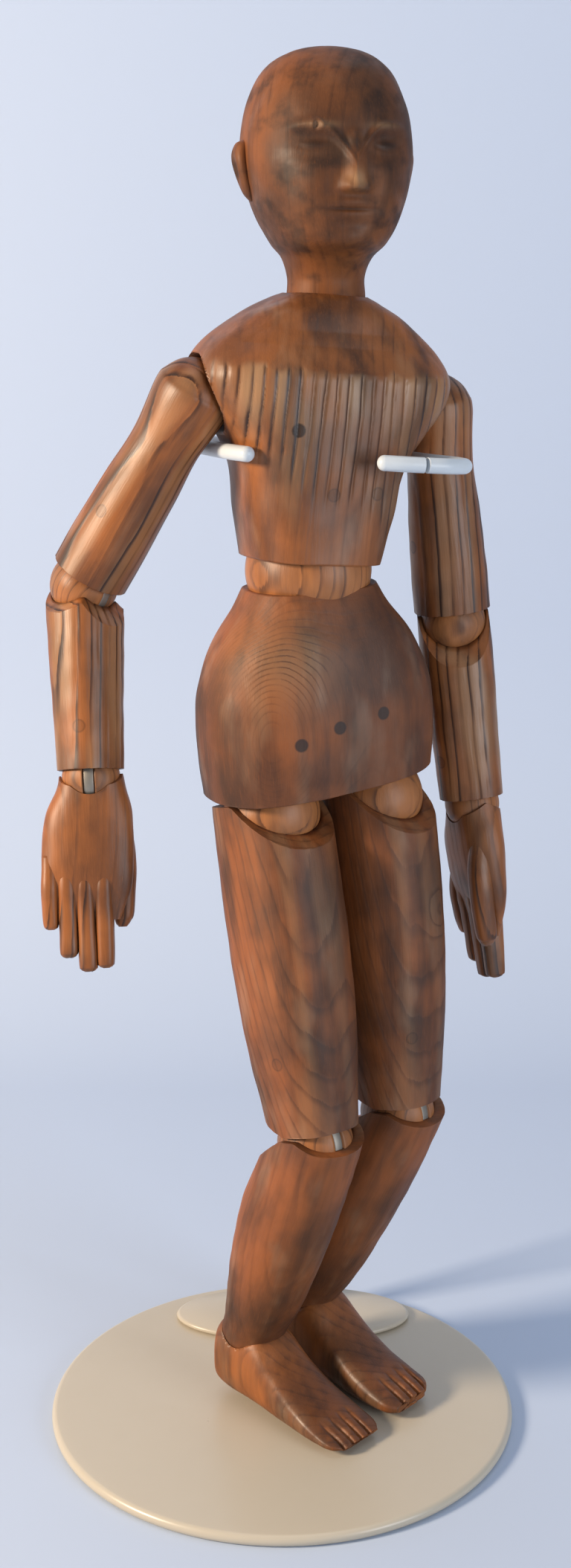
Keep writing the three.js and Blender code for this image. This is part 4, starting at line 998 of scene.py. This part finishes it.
# %% Face
def face(x, z):
    """Carving in front, in millimetres: an arched brow, sunk eyes with shut lids, a nose that widens
    downwards, lips, chin and cheeks, each a bell or a product of bells and steps."""
    side = np.abs(x)
    arch = 51.6 - 0.06 * np.minimum(side - 15, 0) ** 2 - 0.02 * np.maximum(side - 15, 0) ** 2
    brow = 1.7 * np.exp(-(((z - arch) / 1.8) ** 2)) * np.exp(-(((side - 11) / 11) ** 4))
    eye = bump(side, z, (13.5, 44.4), (8.5, 4.6), -3.2) + bump(side, z, (14, 43.9), (6, 2.5), 2.3)
    fold = np.exp(-(((z - 43 - 0.03 * (side - 14) ** 2) / 0.6) ** 2))
    lid = -0.6 * fold * np.exp(-(((side - 14) / 5.4) ** 4))
    along = np.clip((51 - z) / 22, 0, 1)
    bridge = np.exp(-((x / (2.3 + 2.0 * along**2)) ** 2))
    nose = (1.3 + 4.4 * along**2) * step(z, 27.2, 29.4) * step(51 - z, 0, 5) * bridge
    wings = bump(side, z, (3.6, 30.6), (1.8, 2.0), 1.4)
    mouth = np.abs(x + 1.5)
    lips = bump(mouth, z, (0, 24.4), (8, 1.5), 0.7) + bump(mouth, z, (0, 19.8), (6.5, 1.6), 0.6)
    parting = bump(mouth, z, (0, 22), (8.5, 0.55), -0.9)
    chin = bump(side, z, (0, 10.5), (9, 4), 1.6) + bump(side, z, (0, 16.4), (8, 2.2), -0.5)
    cheek = bump(side, z, (15, 33), (6, 7), 1.0) + bump(side, z, (8, 27), (2.5, 4), -0.4)
    return brow + eye + lid + nose + wings + lips + parting + chin + cheek


def face_shade(x, z):
    """Painted shade on the face: eyes, lids, mouth, beside the nose and over the half turned from the key
    lamp, from 0 to 1.
    """
    side = np.abs(x)
    eye = bump(side, z, (14, 44.5), (4.8, 1.5), 0.95) + bump(side, z, (12, 47.6), (8, 1.6), 0.5)
    corner = bump(side, z, (7, 43), (2.2, 5), 0.3)
    mouth = bump(np.abs(x + 1.5), z, (0, 22), (8.5, 0.7), 0.8) + bump(side, z, (0, 26.4), (4.5, 0.9), 0.45)
    flank = bump(x, z, (5.2, 34), (1.5, 5), 0.5) + 0.25 * step(x, 4, 18)
    return np.clip(eye + corner + mouth + flank, 0, 1)


print("the nose stands out", round(float(face(np.array(0.0), np.array(30.0))), 1), "mm")

# %% Head
HEAD = [
    (82, 1.5, 2, 0, 4), (81.3, 8, 10, 0, 3.6), (79.2, 15.2, 18.8, 0, 3), (75.2, 21.4, 25.8, 0, 2.8),
    (69.5, 25.9, 31, 0, 2.5), (58, 30.3, 36, 0, 2), (44, 32, 37.5, 0, 1), (30, 30, 35.8, 0, -0.6),
    (19, 26, 32.8, 0, -2), (10.5, 21.2, 28, 0, -3), (5.5, 17, 20.5, 0, -1), (-2, 14.8, 15),
    (-10, 14.97, 14.97), (-13, 12.4, 12.4), (-16, 8.2, 8.2), (-17.8, 1.5, 1.5),
]
BROW_HOLE = (-13.2, 51.2)
theta = around(340)
theta = theta - 0.55 * np.sin(theta)
skull = section(stations(HEAD), np.linspace(0, 1, 280)[:, None], theta[None, :], 2.15)
front = step(np.broadcast_to(np.cos(theta), skull.shape[:2]), 0.1, 0.7)
x, z = skull[..., 0], skull[..., 2]
hole = np.hypot(x - BROW_HOLE[0], z - BROW_HOLE[1])
pit = 0.35 * np.exp(-(((hole - 1.9) / 0.5) ** 2)) - 1.1 * np.exp(-((hole / 1.1) ** 4))
skull[..., 1] -= front * (face(x, z) + pit)
# the nose tip is worn pale; the pale line along the brow is a painted highlight
nose_tip = bump(x, z, (0.2, 32.5), (3.6, 3.2), 0.6)
brow_highlight = bump(np.abs(x), z, (12, 51.4), (6, 1.2), 0.3)
piece(
    "head_carving", skull, FRAMES["head"], "head", ["head"], PINE_DARK,
    timber=Timber((-190, 90), (0.03, 0.04), 5.0, 141),
    # painted shade in the face's sunk places and on its shaded half
    inner=front * face_shade(x, z), relief=0.06, wear=front * (nose_tip + brow_highlight),
)

# %% Ears
EAR_HOLLOW = (3.6, 38)
for side, out in (("right", -1), ("left", 1)):
    rows = [
        (48, 1.2, 2.2, out * 31.4, 4), (46.5, 2.6, 4.4, out * 32, 4), (42, 3.2, 5.6, out * 32.6, 4),
        (35, 2.9, 5, out * 31.6, 3.4), (29, 2.2, 3.4, out * 29.8, 2.6), (26, 1, 1.4, out * 28.4, 2.2),
    ]
    ear = lengthwise(rows, 2.2, 48, 60)
    away = np.clip(out * ear[..., 0] - 31, 0, 2)
    ear[..., 0] -= out * away * bump(ear[..., 1], ear[..., 2], EAR_HOLLOW, (2.4, 5), 0.8)
    wood = Timber((30, 60), (0.04, 0.05), 3.8, 142)
    piece("ear_" + side, ear, FRAMES["head"], "head", [], PINE_DARK, timber=wood, relief=0.05)

# %% [markdown]
# ## The stand
# A pressed round plate with a rolled rim, an oval pad for the post, and a clamp of covered wire. The
# plate is a profile spun round. A curve with a bevel would give the wire, but its ends would be flat,
# so a circle is carried along the path instead and drawn in at the ends.

# %% Plate and pad
BASE_RADIUS, RIM_RADIUS = 100, 2.5
BASE_TOP, SHEET_UNDER = 5, 3.6
PAD_MIDDLE, PAD_HALF = (5, 68, 5.3), (54, 24)
# Share of the outline and height over the pad's underside
PAD_PROFILE = [
    (0.02, 0), (0.98, 0), (1.0, 0.4), (1.012, 1.3), (1.0, 2.2), (0.98, 2.6), (0.5, 2.6), (0.02, 2.6),
]
arc = np.linspace(-np.pi / 2, np.pi / 2, 24)
rim = RIM_RADIUS * np.column_stack([np.cos(arc), np.sin(arc)]) + [BASE_RADIUS - RIM_RADIUS, RIM_RADIUS]
under = [(0.05, SHEET_UNDER), (94.6, SHEET_UNDER), (95, 3.2), (95, 0.2), (95.2, 0)]
top = [(93, BASE_TOP), (60, BASE_TOP), (20, BASE_TOP), (0.05, BASE_TOP)]
base = turned(np.vstack([under, rim, top]), 160)
piece("plate_enamel", base, FRAMES["room"], "stand", ["base_plate"], ENAMEL, "cream_enamel")

theta = around(160)
share, rise = np.array(PAD_PROFILE).T[:, :, None]
pad_x, pad_y = share * np.cos(theta) * PAD_HALF[0], share * np.sin(theta) * PAD_HALF[1]
oval = np.stack(np.broadcast_arrays(pad_x, pad_y, rise), -1)
piece("pad_enamel", oval + PAD_MIDDLE, FRAMES["room"], "stand", ["post_pad"], ENAMEL, "cream_enamel")

# %% Covered wire of the clamp
WIRE_RADIUS = 3.0
CLAMP_MIDDLE = np.array([13.2, 9.2, 411.5])
RIGHT_ROUTE = [
    (12, 64.5), (-6, 61), (-25, 50), (-36.5, 33), (-39.2, 15), (-39.1, -4), (-38.3, -12), (-35.9, -20),
]
LEFT_ROUTE = [
    (28.8, 63.4), (35, 56), (39.2, 40), (40.5, 22), (40.5, 2), (42, -15), (46.5, -29), (44.5, -39.5),
    (35, -44), (26, -43.6),
]
SLEEVE_ROUTE = [(25.2, -43.5), (16, -41.6), (7.5, -38.6)]
# Route across and back from the clamp's middle, and how far each end is domed
WIRES = {
    "clamp_arm_right": (RIGHT_ROUTE, (0.1, 0.8)),
    "clamp_arm_left": (LEFT_ROUTE, (0.1, 0.08)),
    "clamp_sleeve": (SLEEVE_ROUTE, (0.08, 0.9)),
}


def tube(points, radius, domes):
    """A round wire along a path: each point carries a circle square to the path. At an end the circle
    shrinks as a sine while it moves out as a cosine, times the dome's share of the radius."""
    ahead = np.gradient(points, axis=0)
    ahead /= length_of(ahead)
    lift = np.cross(np.cross(ahead, UP), ahead)
    lift /= length_of(lift)
    flank = np.cross(ahead, lift)
    theta = around(28)[:, None]
    ring = radius * (flank[:, None] * np.cos(theta) + lift[:, None] * np.sin(theta))
    lie = np.linspace(0.1, 1.45, 6)[:, None, None]
    first = points[0] + ahead[0] * radius * domes[0] * (1 - np.cos(lie)) + ring[0] * np.sin(lie)
    last = points[-1] - ahead[-1] * radius * domes[1] * (1 - np.cos(lie)) + ring[-1] * np.sin(lie)
    from_ends = np.linalg.norm(points[1:-1, None] - points[[0, -1]], axis=-1)
    clear = np.all(from_ends > radius * np.array(domes), axis=1)
    return np.concatenate([first, (points[1:-1, None] + ring[1:-1])[clear], last[::-1]])


for name, (route, domes) in WIRES.items():
    flat = spline(np.column_stack([route, np.zeros(len(route))]), np.linspace(0, 1, 20 * len(route)))
    path = CLAMP_MIDDLE + flat @ FRAMES["chest"][1].T
    wire = tube(path, WIRE_RADIUS, domes)
    piece(name + "_cover", wire, FRAMES["room"], "chest", [name], VINYL, "white_vinyl")

# %% [markdown]
# ## CAD pieces that stay in view
# The post, the pegs and the tongues that hardly show are right as they are. They keep their solids and
# only get a finish: enamel on the tube, end grain on dowels, iron on the rest.

# %% Finishes of the CAD pieces
for node, obj in frame["nodes"].items():
    finish = DOWEL if "dowel" in node else ENAMEL if node == "post_tube" else IRON
    obj.data.materials.clear()
    obj.data.materials.append(finish)
print(len(frame["nodes"]), "CAD nodes have a finish")

# %% [markdown]
# ## Floor and backdrop
# The figure stands on pale paper that curves up into a wall, as in a small studio. A second strip runs
# on behind the wall at floor level, for views from the back.

# %% Paper
PAPER_HALF = 2.5
BEND_START, BEND_RADIUS = 0.35, 0.25


def paper_sheet(name, y, z):
    """A strip of paper: the line of points (y, z), in metres, carried sideways along x."""
    x = np.linspace(-PAPER_HALF, PAPER_HALF, 3)
    grid = np.stack(np.broadcast_arrays(x[None, :], y[:, None], z[:, None]), -1)
    index = np.arange(grid[..., 0].size).reshape(-1, 3)
    faces = np.stack([index[:-1, :-1], index[:-1, 1:], index[1:, 1:], index[1:, :-1]], -1).reshape(-1, 4)
    mesh_object(name, grid.reshape(-1, 3), faces.tolist(), PAPER)
    print(f"{name}: {len(faces)} faces")


bend = np.linspace(0.1, np.pi / 2, 14)
bend_y = BEND_START + BEND_RADIUS * np.sin(bend)
bend_z = BEND_RADIUS * (1 - np.cos(bend))
sweep_y = [np.linspace(-PAPER_HALF, BEND_START, 8), bend_y, np.full(6, BEND_START + BEND_RADIUS)]
sweep_z = [np.zeros(8), bend_z, np.linspace(0.4, PAPER_HALF, 6)]
paper_sheet("sweep", np.concatenate(sweep_y), np.concatenate(sweep_z))
paper_sheet("floor_behind", np.linspace(BEND_START, PAPER_HALF, 4), np.zeros(4))

# %% [markdown]
# ## Light
# A warm lamp from the left gives the shading that shows the ridges, a large cool one from the right
# gives the soft sheen, and a third washes the wall. A sun would be simpler, but its hard light hides the
# blots in the stain.

# %% Lamps and sky
def lamp(name, where, target, size, power, colour):
    """A square lamp of size metres at where, turned so that its -Z looks at target."""
    data = bpy.data.lights.new(name, "AREA")
    data.size = size
    data.energy = power
    data.color = colour
    z = unit(np.subtract(where, target))
    x = unit(np.cross(UP, z))
    matrix = np.eye(4)
    matrix[:3] = np.column_stack([x, np.cross(z, x), z, where])
    obj = bpy.data.objects.new(name, data)
    obj.matrix_world = Matrix(matrix.tolist())
    bpy.context.scene.collection.objects.link(obj)
    print(f"{name}: {power} W")


lamp("key", (-1.25, -0.5, 0.75), (0, 0, 0.3), 0.3, 31, (1.0, 0.82, 0.62))
lamp("sheen", (0.95, -0.85, 0.45), (0, 0, 0.4), 0.6, 8, (0.90, 0.94, 1.0))
lamp("wall wash", (0.1, 0.1, 1.6), (0, 0.6, 0.4), 0.8, 3, (0.85, 0.92, 1.0))
scene = bpy.context.scene
scene.view_settings.view_transform = "Standard"
scene.world = bpy.data.worlds.new("room")
scene.world.use_nodes = True
fill(scene.world.node_tree.nodes["Background"], {"Color": (0.80, 0.87, 1.0, 1.0), "Strength": 0.3})

# %% [markdown]
# ## Camera
# The photograph's view, worked out from the ellipse of the round base: how high the camera stands, how
# far it looks down, and its focal length counted in rows of the photograph.

# %% Camera
SENSOR = 36.0
FOCAL_ROWS, PHOTO_ROWS = 2600, 2109
LOOK_DOWN, LOOK_LEFT = 14.08, -0.11
lens = bpy.data.cameras.new("camera")
lens.sensor_fit = "VERTICAL"
lens.sensor_height = SENSOR
lens.lens = FOCAL_ROWS * SENSOR / PHOTO_ROWS
camera = bpy.data.objects.new("camera", lens)
camera.location = (0, -0.7551, 0.4704)
camera.rotation_euler = np.radians((90 - LOOK_DOWN, 0, LOOK_LEFT))
scene.collection.objects.link(camera)
scene.camera = camera
print("focal length", round(lens.lens, 1), "mm")
